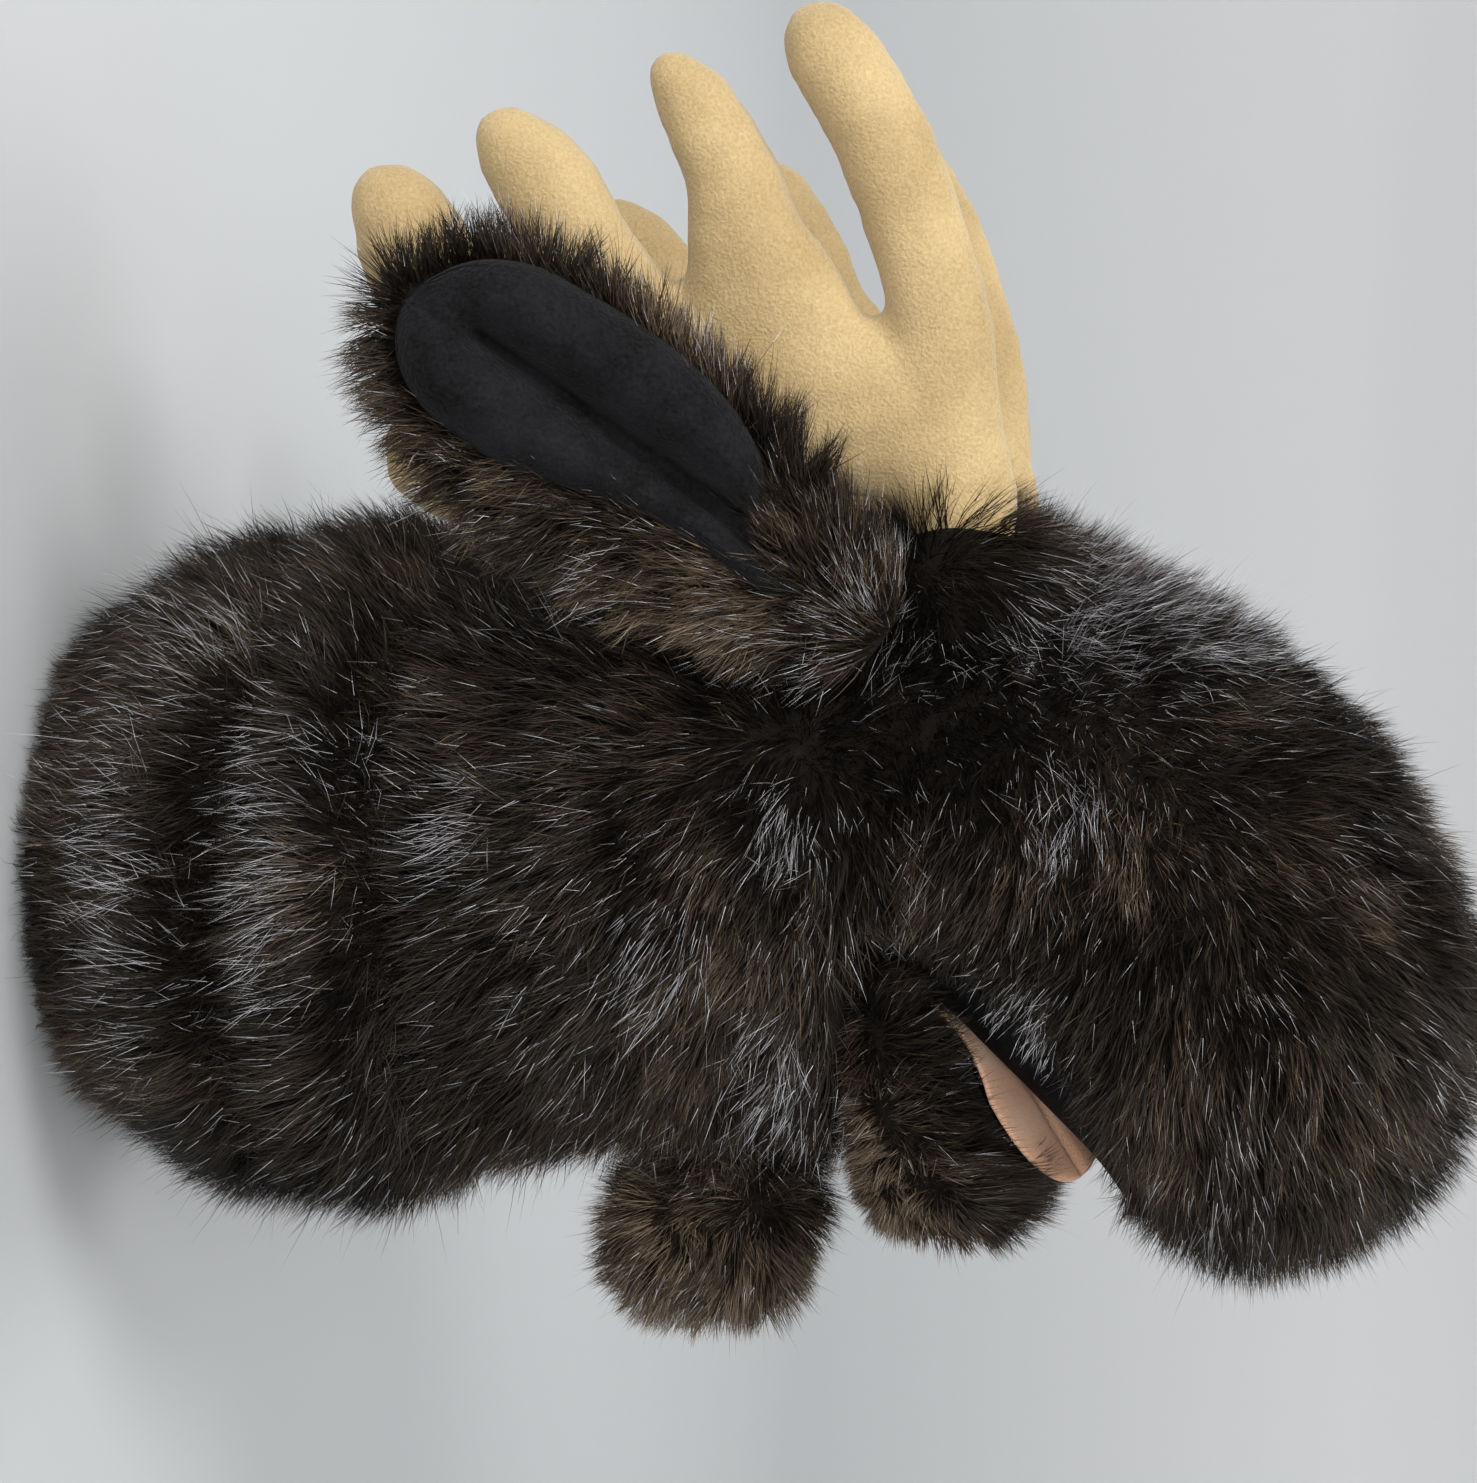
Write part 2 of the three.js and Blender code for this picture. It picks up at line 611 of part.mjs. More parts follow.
// ---- ears: a fur back with a soft fleece roll sewn into it ----
const earAlong = EAR_TIP.clone().sub(EAR_ROOT);
const earLength = earAlong.length();
earAlong.normalize();
const earOut = new THREE.Vector3(0, -1, 0).projectOnPlane(earAlong).normalize();
const earAcross = new THREE.Vector3().crossVectors(earOut, earAlong);
const earFrame = new THREE.Matrix4().makeBasis(earAlong, earAcross, earOut).setPosition(EAR_ROOT);
function earShape(share, from) {
  const run = earLength - from;
  const side = EAR_BACK.map(([t, half]) => new THREE.Vector2(from + t * run, half * share));
  const outline = [...side, ...side.map((p) => new THREE.Vector2(p.x, -p.y)).reverse()];
  const curve = new THREE.SplineCurve([...outline, outline[0]]);
  return new THREE.Shape(curve.getPoints(EAR_OUTLINE_POINTS).slice(0, -1));
}
function earPad(share, from, low, high, round) {
  const geometry = new THREE.ExtrudeGeometry(earShape(share, from), {
    depth: high - low - 2 * round,
    bevelThickness: round,
    bevelSize: round,
    bevelOffset: -round,
    bevelSegments: 2,
  });
  geometry.translate(0, 0, low + round);
  return solid(geometry, earFrame);
}
const earBack = earPad(1, EAR_ROOT_GAP, 0, EAR_BACK_THICKNESS, 2);
const seat = EAR_BACK_THICKNESS - EAR_SEAT_DEPTH;
const seatTop = EAR_BACK_THICKNESS + CUT_PAST;
const earSeat = earPad(EAR_LINING_SHARE + 0.02, EAR_LINING_START - 1, seat - GAP, seatTop, 1);
const earLining = earPad(EAR_LINING_SHARE, EAR_LINING_START, seat, seat + EAR_ROLL_THICKNESS, 4);
for (const [side, place] of SIDES) {
  place(`ear_fur_${side}`, earBack.subtract(earSeat), cloth(FUR));
  place(`ear_lining_${side}`, earLining, cloth(FLEECE));
}

// ---- the part's origin: the middle of its bounding box, on the surface that it stands on ----
const bounds = new THREE.Box3().setFromObject(puppet);
const middle = bounds.getCenter(new THREE.Vector3());
puppet.position.set(-middle.x, -middle.y, -bounds.min.z);

export default puppet;
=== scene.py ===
# A plush moose hand puppet: strands of pile on cloth backings, stuffed antlers and ears, a felt tongue
# and a cloth mouth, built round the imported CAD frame. Shapes are worked out in the part's millimetres,
# as in the CAD source, and world() moves them to the frame's metres.
import math

import bpy
import numpy as np
from mathutils import Matrix, Vector

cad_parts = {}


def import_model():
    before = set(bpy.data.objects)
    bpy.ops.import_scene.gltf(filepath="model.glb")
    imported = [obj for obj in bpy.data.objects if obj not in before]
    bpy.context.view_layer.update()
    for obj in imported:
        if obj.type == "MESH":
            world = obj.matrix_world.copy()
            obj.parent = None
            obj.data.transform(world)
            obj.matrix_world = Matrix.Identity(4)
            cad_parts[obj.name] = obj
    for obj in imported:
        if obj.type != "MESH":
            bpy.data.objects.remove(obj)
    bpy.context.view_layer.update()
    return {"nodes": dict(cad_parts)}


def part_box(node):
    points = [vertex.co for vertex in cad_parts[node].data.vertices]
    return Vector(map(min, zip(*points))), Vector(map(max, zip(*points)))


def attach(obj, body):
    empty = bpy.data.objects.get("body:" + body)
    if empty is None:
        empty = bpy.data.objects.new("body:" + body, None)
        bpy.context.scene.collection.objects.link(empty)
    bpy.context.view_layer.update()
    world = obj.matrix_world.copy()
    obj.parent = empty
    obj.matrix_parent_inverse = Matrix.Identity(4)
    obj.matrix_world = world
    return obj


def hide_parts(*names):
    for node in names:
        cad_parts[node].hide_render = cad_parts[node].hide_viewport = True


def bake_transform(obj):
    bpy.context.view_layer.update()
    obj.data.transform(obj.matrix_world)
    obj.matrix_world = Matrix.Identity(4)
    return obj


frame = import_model()

MM = 0.001
SIDES = {"right": -1.0, "left": 1.0}
X_AXIS, Y_AXIS, Z_AXIS = np.eye(3)
MIRROR = np.array([1.0, -1.0, 1.0])
FAR = 200.0  # reaches past the puppet on both sides

# ---- the part's sections, as in the CAD source ----
WRIST_Z = 112  # the sleeve piece meets the neck piece here
HEAD_BOTTOM = 165
NAPE_TOP = 206
THROAT_X = 15
HEM_HEIGHT = 10
# The tube of sleeve and neck: height, centre in X, half width in X, half width in Y.
TUBE = [
    (0, -2, 56, 52), (12, -1, 68, 62), (37, 0, 83, 78), (69, 0, 92, 87),
    (95, -1, 88, 83), (130, -3, 80, 77), (165, -5, 78, 73), (206, -5, 79, 70),
    (232, -10, 70, 62),
]
HEAD_ORIGIN = np.array([-30.0, 0.0, 237.0])
HEAD_PITCH = math.radians(46)
FORWARD = np.array([math.cos(HEAD_PITCH), 0.0, math.sin(HEAD_PITCH)])
UP = np.array([-math.sin(HEAD_PITCH), 0.0, math.cos(HEAD_PITCH)])
HEAD_POWER = 2.2
# Sections of the head: forward, centre in up, half height, half width.
HEAD = [
    (-60, 5, 14, 18), (-50, 4, 35, 42), (-25, 4, 54, 58), (0, 9, 59, 67),
    (25, 8, 67, 72), (51, 9, 69, 77), (80, 8, 69, 81), (111, 8, 59, 79),
    (136, 3, 51, 66), (151, 0, 38, 50), (160, 0, 19, 27),
]
MUZZLE_START_F = 30
PALATE_U = -46
PALATE_THICKNESS = 3
MOUTH_BACK_X, MOUTH_BACK_F = 12, 15
LIP_F = 118
JAW_PLANE_X, JAW_PLANE_Z = 20, 219
JAW_SLOPE = math.radians(26)
JAW_POWER = 3
# Sections of the lower jaw: x, lowest z, highest z, half width.
JAW = [(19, 210, 226, 38), (40, 209.5, 238, 47), (64, 210, 248, 50), (82, 212, 257, 46), (92, 219, 252, 34)]
DEWLAP_POWER = 2.4
# Sections of the dewlap in the same order. Its first two lie in the throat's pile, where it is sewn on.
DEWLAP = [
    (58, 164, 196, 22), (78.5, 158, 196, 25), (88, 147, 201, 29), (100, 143, 199, 28),
    (110, 147, 196, 22), (117, 151, 192, 13),
]
ANTLER_ROOT_X, ANTLER_ROOT_Y = -72, 38
ANTLER_SPLAY = math.radians(13)
ANTLER_HALF_THICKNESS = 11
# The antler's branches in its own plane, as rows of x, z and half width.
ANTLER = {
    "stem": [(-50, 244, 11), (-78, 243.5, 12.5), (-95, 242, 15.5), (-112, 236, 18)],
    "palm": [
        (-104, 248, 8), (-111, 238, 19), (-118, 212, 24), (-118, 184, 27),
        (-114, 152, 25), (-110, 128, 23), (-108, 110, 19), (-107, 97, 8),
    ],
    "tine_1": [
        (-108, 240, 15), (-141, 238, 12.8), (-165, 231.5, 12.6), (-184, 224.4, 12.6),
        (-197, 217.5, 11.9), (-208, 210.3, 10), (-214, 206, 4),
    ],
    "tine_2": [
        (-128, 199, 23), (-140, 196.5, 21.5), (-152, 193, 18.5), (-162, 190.5, 14.7),
        (-175, 188, 12), (-190, 180.5, 10.3), (-199, 174, 7.5), (-204, 169.5, 3),
    ],
    "tine_3": [
        (-124, 167, 20), (-155, 150, 14.5), (-170, 143.3, 13.6),
        (-180, 135.8, 11.8), (-188, 129.5, 8), (-192, 126.5, 3),
    ],
    "tine_4": [
        (-112, 132, 20), (-140, 116, 16.5), (-157, 107.5, 15),
        (-168, 103.3, 13), (-176, 98, 8.5), (-180, 95.5, 3),
    ],
}
EAR_ROOT = np.array([-58.0, -57.0, 224.0])
EAR_TIP = np.array([-140.0, -99.0, 113.0])
# Half widths of an ear's fur back, from root to tip: share of the length, half width.
EAR_BACK = [(0.0, 9), (0.05, 13), (0.2, 22), (0.45, 30), (0.7, 31), (0.88, 24), (0.97, 11), (1.0, 1)]
EAR_BACK_THICKNESS = 7
EYE_F, EYE_U = 2, 30
EYE_RADIUS = 6
EYE_SINK = 7
NOSTRIL_F, NOSTRIL_U, NOSTRIL_Y = 149, 10, 36


def row_at(table, place):
    """One row of a table at a place, straight between its rows."""
    columns = np.array(table, float).T
    return [float(np.interp(place, columns[0], column)) for column in columns[1:]]


hem_low, hem_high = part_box("sleeve_hem")
HEM_CENTRE_X = row_at(TUBE, HEM_HEIGHT)[0]
ORIGIN = np.array([(hem_low.x + hem_high.x) / 2 / MM - HEM_CENTRE_X, 0.0, hem_low.z / MM])


def world(points):
    """The part's millimetres to the frame's metres."""
    return (np.asarray(points, float) + ORIGIN) * MM


def unit(vectors):
    return vectors / np.maximum(np.linalg.norm(vectors, axis=-1, keepdims=True), 1e-9)


def head_point(f, u, y=0.0):
    """A point given along the head: forward, up and sideways."""
    return HEAD_ORIGIN + f * FORWARD + u * UP + y * Y_AXIS


def in_head_frame(points):
    """How far points lie forward and up in the head."""
    rel = points - HEAD_ORIGIN
    return rel @ FORWARD, rel @ UP


def link_new(name, data):
    """A new object of some data, in the scene."""
    made = bpy.data.objects.new(name, data)
    bpy.context.scene.collection.objects.link(made)
    return made


# ---- camera: beside the puppet on its right, rolled so that the nose points to the view's right ----
VIEW_CENTRE = np.array([-33.0, 0.0, 179.0])
VIEW_HEIGHT = 395.0  # millimetres across the view's longer side, at the puppet's middle plane
CAMERA_DISTANCE = 780.0
CAMERA_TILT = math.radians(10)
SENSOR = 36.0


def make_camera():
    data = bpy.data.cameras.new("camera")
    data.sensor_width = SENSOR
    data.lens = SENSOR * CAMERA_DISTANCE / VIEW_HEIGHT
    data.clip_start, data.clip_end = 0.05, 20
    camera = link_new("camera", data)
    bpy.context.scene.camera = camera
    right = Vector((0, math.sin(CAMERA_TILT), math.cos(CAMERA_TILT)))
    top = Vector((-1, 0, 0))
    back = right.cross(top)
    turn = Matrix((right, top, back)).transposed().to_4x4()
    turn.translation = Vector(world(VIEW_CENTRE)) + back * CAMERA_DISTANCE * MM
    camera.matrix_world = turn


make_camera()


# ---- meshes ----
def ring_faces(levels, count, joined=False):
    """Quads between rings of equally many points; joined adds those from the last ring to the first."""
    faces = []
    for level in range(levels if joined else levels - 1):
        low, high = level * count, (level + 1) % levels * count
        for i in range(count):
            j = (i + 1) % count
            faces.append((low + i, low + j, high + j, high + i))
    return faces


def loft(rings):
    """A closed surface through rings of equally many points: vertices and faces."""
    count = len(rings[0])
    vertices = np.concatenate([*rings, [rings[0].mean(0), rings[-1].mean(0)]])
    faces = ring_faces(len(rings), count)
    bottom, top = len(vertices) - 2, len(vertices) - 1
    last = (len(rings) - 1) * count
    for i in range(count):
        j = (i + 1) % count
        faces.append((bottom, j, i))
        faces.append((top, last + i, last + j))
    return vertices, faces


def ring(centre, across, deep, a, b, power=2.0, count=64):
    """Points round a superellipse with half widths a and b; a power of 2 is an ellipse."""
    angle = np.arange(count) / count * 2 * math.pi
    c, s = np.cos(angle), np.sin(angle)
    x = np.sign(c) * np.abs(c) ** (2 / power) * a
    y = np.sign(s) * np.abs(s) ** (2 / power) * b
    return centre + np.outer(x, across) + np.outer(y, deep)


def eased(count):
    """Shares from 0 to 1, closer together at both ends."""
    return 0.5 - 0.5 * np.cos(np.linspace(0, 1, count) * math.pi)


def smooth_rows(table, steps=5):
    """Rows with more rows between them, on a smooth curve through the given ones."""
    rows = np.array(table, float)
    padded = np.vstack([2 * rows[0] - rows[1], rows, 2 * rows[-1] - rows[-2]])
    made = []
    for i in range(1, len(rows)):
        a, b, c, d = padded[i - 1 : i + 3]
        for step in range(steps):
            t = step / steps
            curve = 2 * b + (c - a) * t + (2 * a - 5 * b + 4 * c - d) * t**2
            made.append(0.5 * (curve + (3 * b - a - 3 * c + d) * t**3))
    made.append(rows[-1])
    return np.array(made)


def mesh_object(name, vertices, faces):
    mesh = bpy.data.meshes.new(name)
    mesh.from_pydata([tuple(v) for v in vertices], [], [tuple(map(int, f)) for f in faces])
    return link_new(name, mesh)


def discard(thing):
    mesh = thing.data
    bpy.data.objects.remove(thing)
    bpy.data.meshes.remove(mesh)


def baked(source):
    """A temporary object's vertices and faces with its modifiers applied. The object goes."""
    depsgraph = bpy.context.evaluated_depsgraph_get()
    mesh = bpy.data.meshes.new_from_object(source.evaluated_get(depsgraph))
    vertices = np.empty(len(mesh.vertices) * 3)
    mesh.vertices.foreach_get("co", vertices)
    faces = [tuple(polygon.vertices) for polygon in mesh.polygons]
    discard(source)
    bpy.data.meshes.remove(mesh)
    return vertices.reshape(-1, 3), faces


def cut_away(shell, cutter):
    """A closed shell with another closed shell taken away from it."""
    whole = mesh_object("whole", *shell)
    tool = mesh_object("tool", *cutter)
    cut = whole.modifiers.new("cut", "BOOLEAN")
    cut.operation = "DIFFERENCE"
    cut.solver = "EXACT"
    cut.object = tool
    made = baked(whole)
    discard(tool)
    return made


def merged(shells, voxel, rounds):
    """Several overlapping closed shells as one smooth closed surface of quads."""
    vertices, faces = [], []
    for shell_vertices, shell_faces in shells:
        start = len(vertices)
        vertices += list(shell_vertices)
        faces += [[start + i for i in face] for face in shell_faces]
    source = mesh_object("merged", vertices, faces)
    remesh = source.modifiers.new("remesh", "REMESH")
    remesh.mode = "VOXEL"
    remesh.voxel_size = voxel
    smooth = source.modifiers.new("smooth", "SMOOTH")
    smooth.factor = 0.5
    smooth.iterations = rounds
    vertices, faces = baked(source)
    return vertices, np.array([face for face in faces if len(face) == 4])


def vertex_normals(vertices, quads):
    corner = vertices[quads]
    face_normal = np.cross(corner[:, 2] - corner[:, 0], corner[:, 3] - corner[:, 1])
    made = np.zeros_like(vertices)
    for k in range(4):
        np.add.at(made, quads[:, k], face_normal)
    return unit(made)


def add_object(name, vertices, faces, material):
    """A new smooth-shaded piece from millimetres, in metres."""
    piece = mesh_object(name, world(vertices), faces)
    piece.data.shade_smooth()
    piece.data.materials.append(material)
    return piece


# ---- materials ----
def new_material(name, roughness=0.9, sheen=0.0, sheen_tint=(1, 1, 1), specular=0.5):
    """A material and its Principled shader."""
    material = bpy.data.materials.new(name)
    material.use_nodes = True
    shader = material.node_tree.nodes["Principled BSDF"]
    for name, value in (
        ("Roughness", roughness),
        ("Sheen Weight", sheen),
        ("Sheen Roughness", 0.4),
        ("Sheen Tint", (*sheen_tint, 1)),
        ("Specular IOR Level", specular),
    ):
        shader.inputs[name].default_value = value
    return material, shader


def node(material, kind, **values):
    """A node with values set on it: on its property of that name, or else on its input."""
    made = material.node_tree.nodes.new(kind)
    for name, value in values.items():
        if hasattr(made, name):
            setattr(made, name, value)
        else:
            made.inputs[name.title()].default_value = value
    return made


def link(material, source, target):
    material.node_tree.links.new(source, target)


def object_place(material):
    return node(material, "ShaderNodeTexCoord").outputs["Object"]


def noise(material, scale, detail):
    """Noise in the object's own space, with scale in features a metre."""
    made = node(material, "ShaderNodeTexNoise", scale=scale, detail=detail)
    link(material, object_place(material), made.inputs["Vector"])
    return made.outputs["Fac"]


def ramp(material, source, low, high):
    """A colour that goes from one (place, colour) to another."""
    made = node(material, "ShaderNodeValToRGB")
    for element, (place, colour) in zip(made.color_ramp.elements, (low, high)):
        element.position = place
        element.color = (*colour, 1)
    link(material, source, made.inputs["Fac"])
    return made.outputs["Color"]


def mixed(material, a, b, share):
    made = node(material, "ShaderNodeMix", data_type="RGBA")
    made.inputs["Factor"].default_value = share
    link(material, a, made.inputs[6])
    link(material, b, made.inputs[7])
    return made.outputs[2]


def bump(material, shader, height, strength, distance):
    made = node(material, "ShaderNodeBump", strength=strength, distance=distance)
    link(material, height, made.inputs["Height"])
    link(material, made.outputs["Normal"], shader.inputs["Normal"])


def soft_cloth(name, dark, light, grain, mottle, sheen=0.0, tint=(1, 1, 1), relief=0.0004):
    """Felt, fleece or plush: a fine grain of fibres over a slow change of shade."""
    material, shader = new_material(name, 0.95, sheen, tint, specular=0.1)
    fine = noise(material, grain, 6)
    fine_shade = ramp(material, fine, (0.3, dark), (0.72, light))
    slow_shade = ramp(material, noise(material, mottle, 3), (0.35, dark), (0.65, light))
    link(material, mixed(material, fine_shade, slow_shade, 0.45), shader.inputs["Base Color"])
    bump(material, shader, fine, 0.9, relief)
    return material


def woven_cloth(name, dark, light, threads):
    """A plain weave: two sets of threads across each other."""
    material, shader = new_material(name, 0.55, 0.1, specular=0.4)
    place = object_place(material)
    bands = []
    for direction in ("X", "Z"):
        wave = node(material, "ShaderNodeTexWave", bands_direction=direction, scale=threads)
        link(material, place, wave.inputs["Vector"])
        bands.append(wave.outputs["Color"])
    weave = mixed(material, *bands, 0.5)
    link(material, ramp(material, weave, (0.2, dark), (0.8, light)), shader.inputs["Base Color"])
    bump(material, shader, weave, 0.6, 0.0002)
    return material


def smooth_plastic(name, dark, light, roughness):
    material, shader = new_material(name, roughness, specular=0.6)
    shade = ramp(material, noise(material, 300, 2), (0.3, dark), (0.7, light))
    link(material, shade, shader.inputs["Base Color"])
    return material


def hex_colour(text):
    """A linear colour from its sRGB hex code."""
    values = [int(text[i : i + 2], 16) / 255 for i in (0, 2, 4)]
    return tuple(v / 12.92 if v < 0.04045 else ((v + 0.055) / 1.055) ** 2.4 for v in values)


backing_cloth = soft_cloth("backing_cloth", (0.004, 0.003, 0.002), (0.012, 0.009, 0.007), 900, 60)
antler_plush = soft_cloth(
    "antler_plush", hex_colour("9a835c"), hex_colour("c0a87c"), 1200, 34, 0.3, (1, 0.94, 0.82), 0.0006
)
ear_fleece = soft_cloth(
    "ear_fleece", hex_colour("030303"), hex_colour("202022"), 900, 70, 0.05, (0.7, 0.7, 0.74), 0.0009
)
tongue_felt = soft_cloth(
    "tongue_felt", hex_colour("eeb08c"), hex_colour("fbd2b2"), 1500, 60, 0.3, (1, 0.9, 0.8)
)
mouth_cloth = soft_cloth("mouth_cloth", (0.002, 0.002, 0.003), (0.008, 0.008, 0.009), 1000, 70)
nostril_felt = soft_cloth("nostril_felt", (0.004, 0.004, 0.005), (0.014, 0.014, 0.016), 1300, 70, 0.2)
lining_cloth = woven_cloth("lining_cloth", hex_colour("1d1917"), hex_colour("453c38"), 700)
eye_plastic = smooth_plastic("eye_plastic", (0.006, 0.003, 0.002), (0.02, 0.009, 0.004), 0.08)
washer_plastic = smooth_plastic("washer_plastic", (0.5, 0.5, 0.48), (0.68, 0.68, 0.65), 0.5)

# The pile's shades, from its darkest under hairs to its guard hairs; the grey and silver ones are partly
# painted highlights on the guard hairs. They hold no nodes besides the shader, because the colour varies
# from strand to strand and along each strand.
FUR_SHADES = ["080605", "16120f", "2d241d", "4a3d32", "726453", "858283", "bebdc1"]
# the grey and silver shades are partly painted highlights, glints of light on the guard hairs
BLACK, BROWN, TAWNY, GREY_GLINT, SILVER_GLINT = 0, 2, 4, 5, 6


def fur_shade(index, code):
    """One shade of fur strand; the guard hairs are glossier than the rest."""
    shiny = index >= GREY_GLINT
    roughness, specular = (0.35, 0.6) if shiny else (0.5, 0.3)
    material, shader = new_material(f"fur_shade_{index}", roughness, specular=specular)
    shader.inputs["Base Color"].default_value = (*hex_colour(code), 1)
    shader.inputs["Specular Tint"].default_value = (1, 1, 1, 1) if shiny else (1, 0.86, 0.72, 1)
    return material


FUR = [fur_shade(i, code) for i, code in enumerate(FUR_SHADES)]

# ---- fur ----
CLUMP = 5.5  # millimetres across a lock of fur
GATHER = 0.62  # how far a lock's strands draw together at their tips
LOCK_SWAY, STRAND_SWAY = 0.25, 0.2  # how far locks, and strands in them, turn off the flow
STRAND_WIDTH = 0.33
STEPS = np.array([0.0, 0.36, 0.7, 1.0])  # along a strand
WIDTHS = np.array([1.0, 0.85, 0.5])
STRAND_CORNERS = np.array([0, 1, 3, 2, 2, 3, 5, 4, 4, 5, 6])  # two quads and the triangle at the tip
STRAND_FACES = np.array([0, 4, 8])
FLOOR_CLEAR = 0.0004
GUARD_SHARE = 0.022
# painted highlights: the share of strands in a glint that become grey and silver guard hairs
GLINT_SHARE = 0.5
STRAY_SHARE = 0.012  # hairs that stand out from the pile
# Painted highlights: where more guard hairs are coloured grey and silver, as if the pile caught the light
# there,
# on both sides: x, z and reach in x and z.
GLINTS = [
    (-68, 294, 17, 32), (-58, 282, 15, 24), (-10, 87, 32, 7), (5, 46, 38, 6),
    (-15, 203, 11, 8), (44, 200, 16, 6), (12, 175, 12, 9), (-58, 222, 14, 8),
    (-12, 130, 12, 9), (-22, 268, 14, 10), (40, 262, 20, 8), (-52, 60, 10, 10),
]


def swell(points, size, seed):
    """A slow smooth random value from -1 to 1 over space, with features of about that size."""
    draw = np.random.default_rng(seed)
    total = np.zeros(len(points))
    for _ in range(7):
        direction = unit(draw.normal(size=3))
        pace = 2 * math.pi / size / draw.uniform(0.7, 1.6)
        total += np.sin(points @ direction * pace + draw.uniform(0, 6.3))
    return np.clip(total / 3.2, -1, 1)


def swirl(points, size, seed):
    """A slow smooth random vector over space."""
    return np.stack([swell(points, size, seed + k) for k in range(3)], 1)


def bell(value, middle, reach):
    return np.exp(-(((value - middle) / reach) ** 2))


def glint(roots):
    """How much painted highlight the guard hairs get, from 0 to 1."""
    total = np.zeros(len(roots))
    for x, z, reach_x, reach_z in GLINTS:
        total += np.exp(-(((roots[:, 0] - x) / reach_x) ** 2) - ((roots[:, 2] - z) / reach_z) ** 2)
    anywhere = 0.15 * np.clip(swell(roots, 26, 9), 0, 1)
    return np.clip(total * (0.75 + 0.5 * swell(roots, 11, 10)) + anywhere, 0, 1)


def plant(draw, vertices, quads, normals, per_mm2):
    """Random roots over a surface with the surface's normals there."""
    triangles = np.concatenate([quads[:, [0, 1, 2]], quads[:, [0, 2, 3]]])
    corners = vertices[triangles]
    sides = corners[:, 1] - corners[:, 0], corners[:, 2] - corners[:, 0]
    area = np.linalg.norm(np.cross(*sides), axis=1) / 2
    count = int(area.sum() * per_mm2)
    chosen = draw.choice(len(triangles), count, p=area / area.sum())
    a, b = draw.random((2, count, 1))
    outside = a + b > 1
    a, b = np.where(outside, 1 - a, a), np.where(outside, 1 - b, b)
    share = np.concatenate([1 - a - b, a, b], 1)[:, :, None]
    roots = (vertices[triangles[chosen]] * share).sum(1)
    return roots, unit((normals[triangles[chosen]] * share).sum(1))


def grow(draw, roots, normals, flow, length, lift, stray):
    """The middle lines of strands: erect at the root, leaning along the flow towards the tip."""
    count = len(roots)
    cell = np.floor((roots + swirl(roots, 23, 90) * 3) / CLUMP).astype(int)
    _, lock = np.unique(cell, axis=0, return_inverse=True)
    lock = lock.ravel()
    size = np.bincount(lock)
    middle = np.stack([np.bincount(lock, roots[:, k]) / size for k in range(3)], 1)[lock]
    sway = draw.normal(0, LOCK_SWAY, (len(size), 3))[lock] + draw.normal(0, STRAND_SWAY, (count, 3))
    side = flow + sway
    side -= normals * (side * normals).sum(1, keepdims=True)
    lift = np.clip(lift + draw.normal(0, 0.08, count), 0.05, 1)[:, None]
    points = [roots - normals * 0.6]
    for start, end in zip(STEPS[:-1], STEPS[1:]):
        t = (start + end) / 2
        erect = (1 - t) * np.maximum(lift, 0.5) + t * lift
        heading = unit(normals * erect + side * (1 - erect) * (0.55 + 0.75 * t))
        points.append(points[-1] + heading * (length * (end - start))[:, None])
    gather = np.where(stray, 0.0, GATHER)[:, None]
    for level in range(1, len(points)):
        points[level] = points[level] + (middle - roots) * (gather * STEPS[level] ** 1.5)
    return np.stack(points, 1)


def ribbon_mesh(name, draw, lines, normals, shades, tips, width):
    """One object of tapering ribbons along the strands' lines."""
    lines = world(lines)
    lines[..., 2] = np.maximum(lines[..., 2], FLOOR_CLEAR)
    count, levels = lines.shape[:2]
    along = unit(lines[:, -1] - lines[:, 0])
    across = unit(np.cross(along, normals) + 1e-6)
    other = np.cross(along, across)
    turn = draw.uniform(-1.1, 1.1, count)[:, None]
    half = (across * np.cos(turn) + other * np.sin(turn)) * (width * MM / 2)[:, None]
    rows = 2 * (levels - 1) + 1
    vertices = np.empty((count, rows, 3))
    for level, share in enumerate(WIDTHS):
        vertices[:, 2 * level] = lines[:, level] - half * share
        vertices[:, 2 * level + 1] = lines[:, level] + half * share
    vertices[:, -1] = lines[:, -1]
    strand = np.arange(count)[:, None]
    loops = strand * rows + STRAND_CORNERS
    starts = strand * len(STRAND_CORNERS) + STRAND_FACES
    shade = np.stack([np.clip(shades - 1, BLACK, BROWN), shades, tips], 1)
    mesh = bpy.data.meshes.new(name)
    mesh.vertices.add(vertices.size // 3)
    mesh.vertices.foreach_set("co", vertices.astype(np.float32).ravel())
    mesh.loops.add(loops.size)
    mesh.loops.foreach_set("vertex_index", loops.astype(np.int32).ravel())
    mesh.polygons.add(starts.size)
    mesh.polygons.foreach_set("loop_start", starts.astype(np.int32).ravel())
    mesh.polygons.foreach_set("material_index", shade.astype(np.int32).ravel())
    mesh.update(calc_edges=True)
    for material in FUR:
        mesh.materials.append(material)
    return link_new(name, mesh)


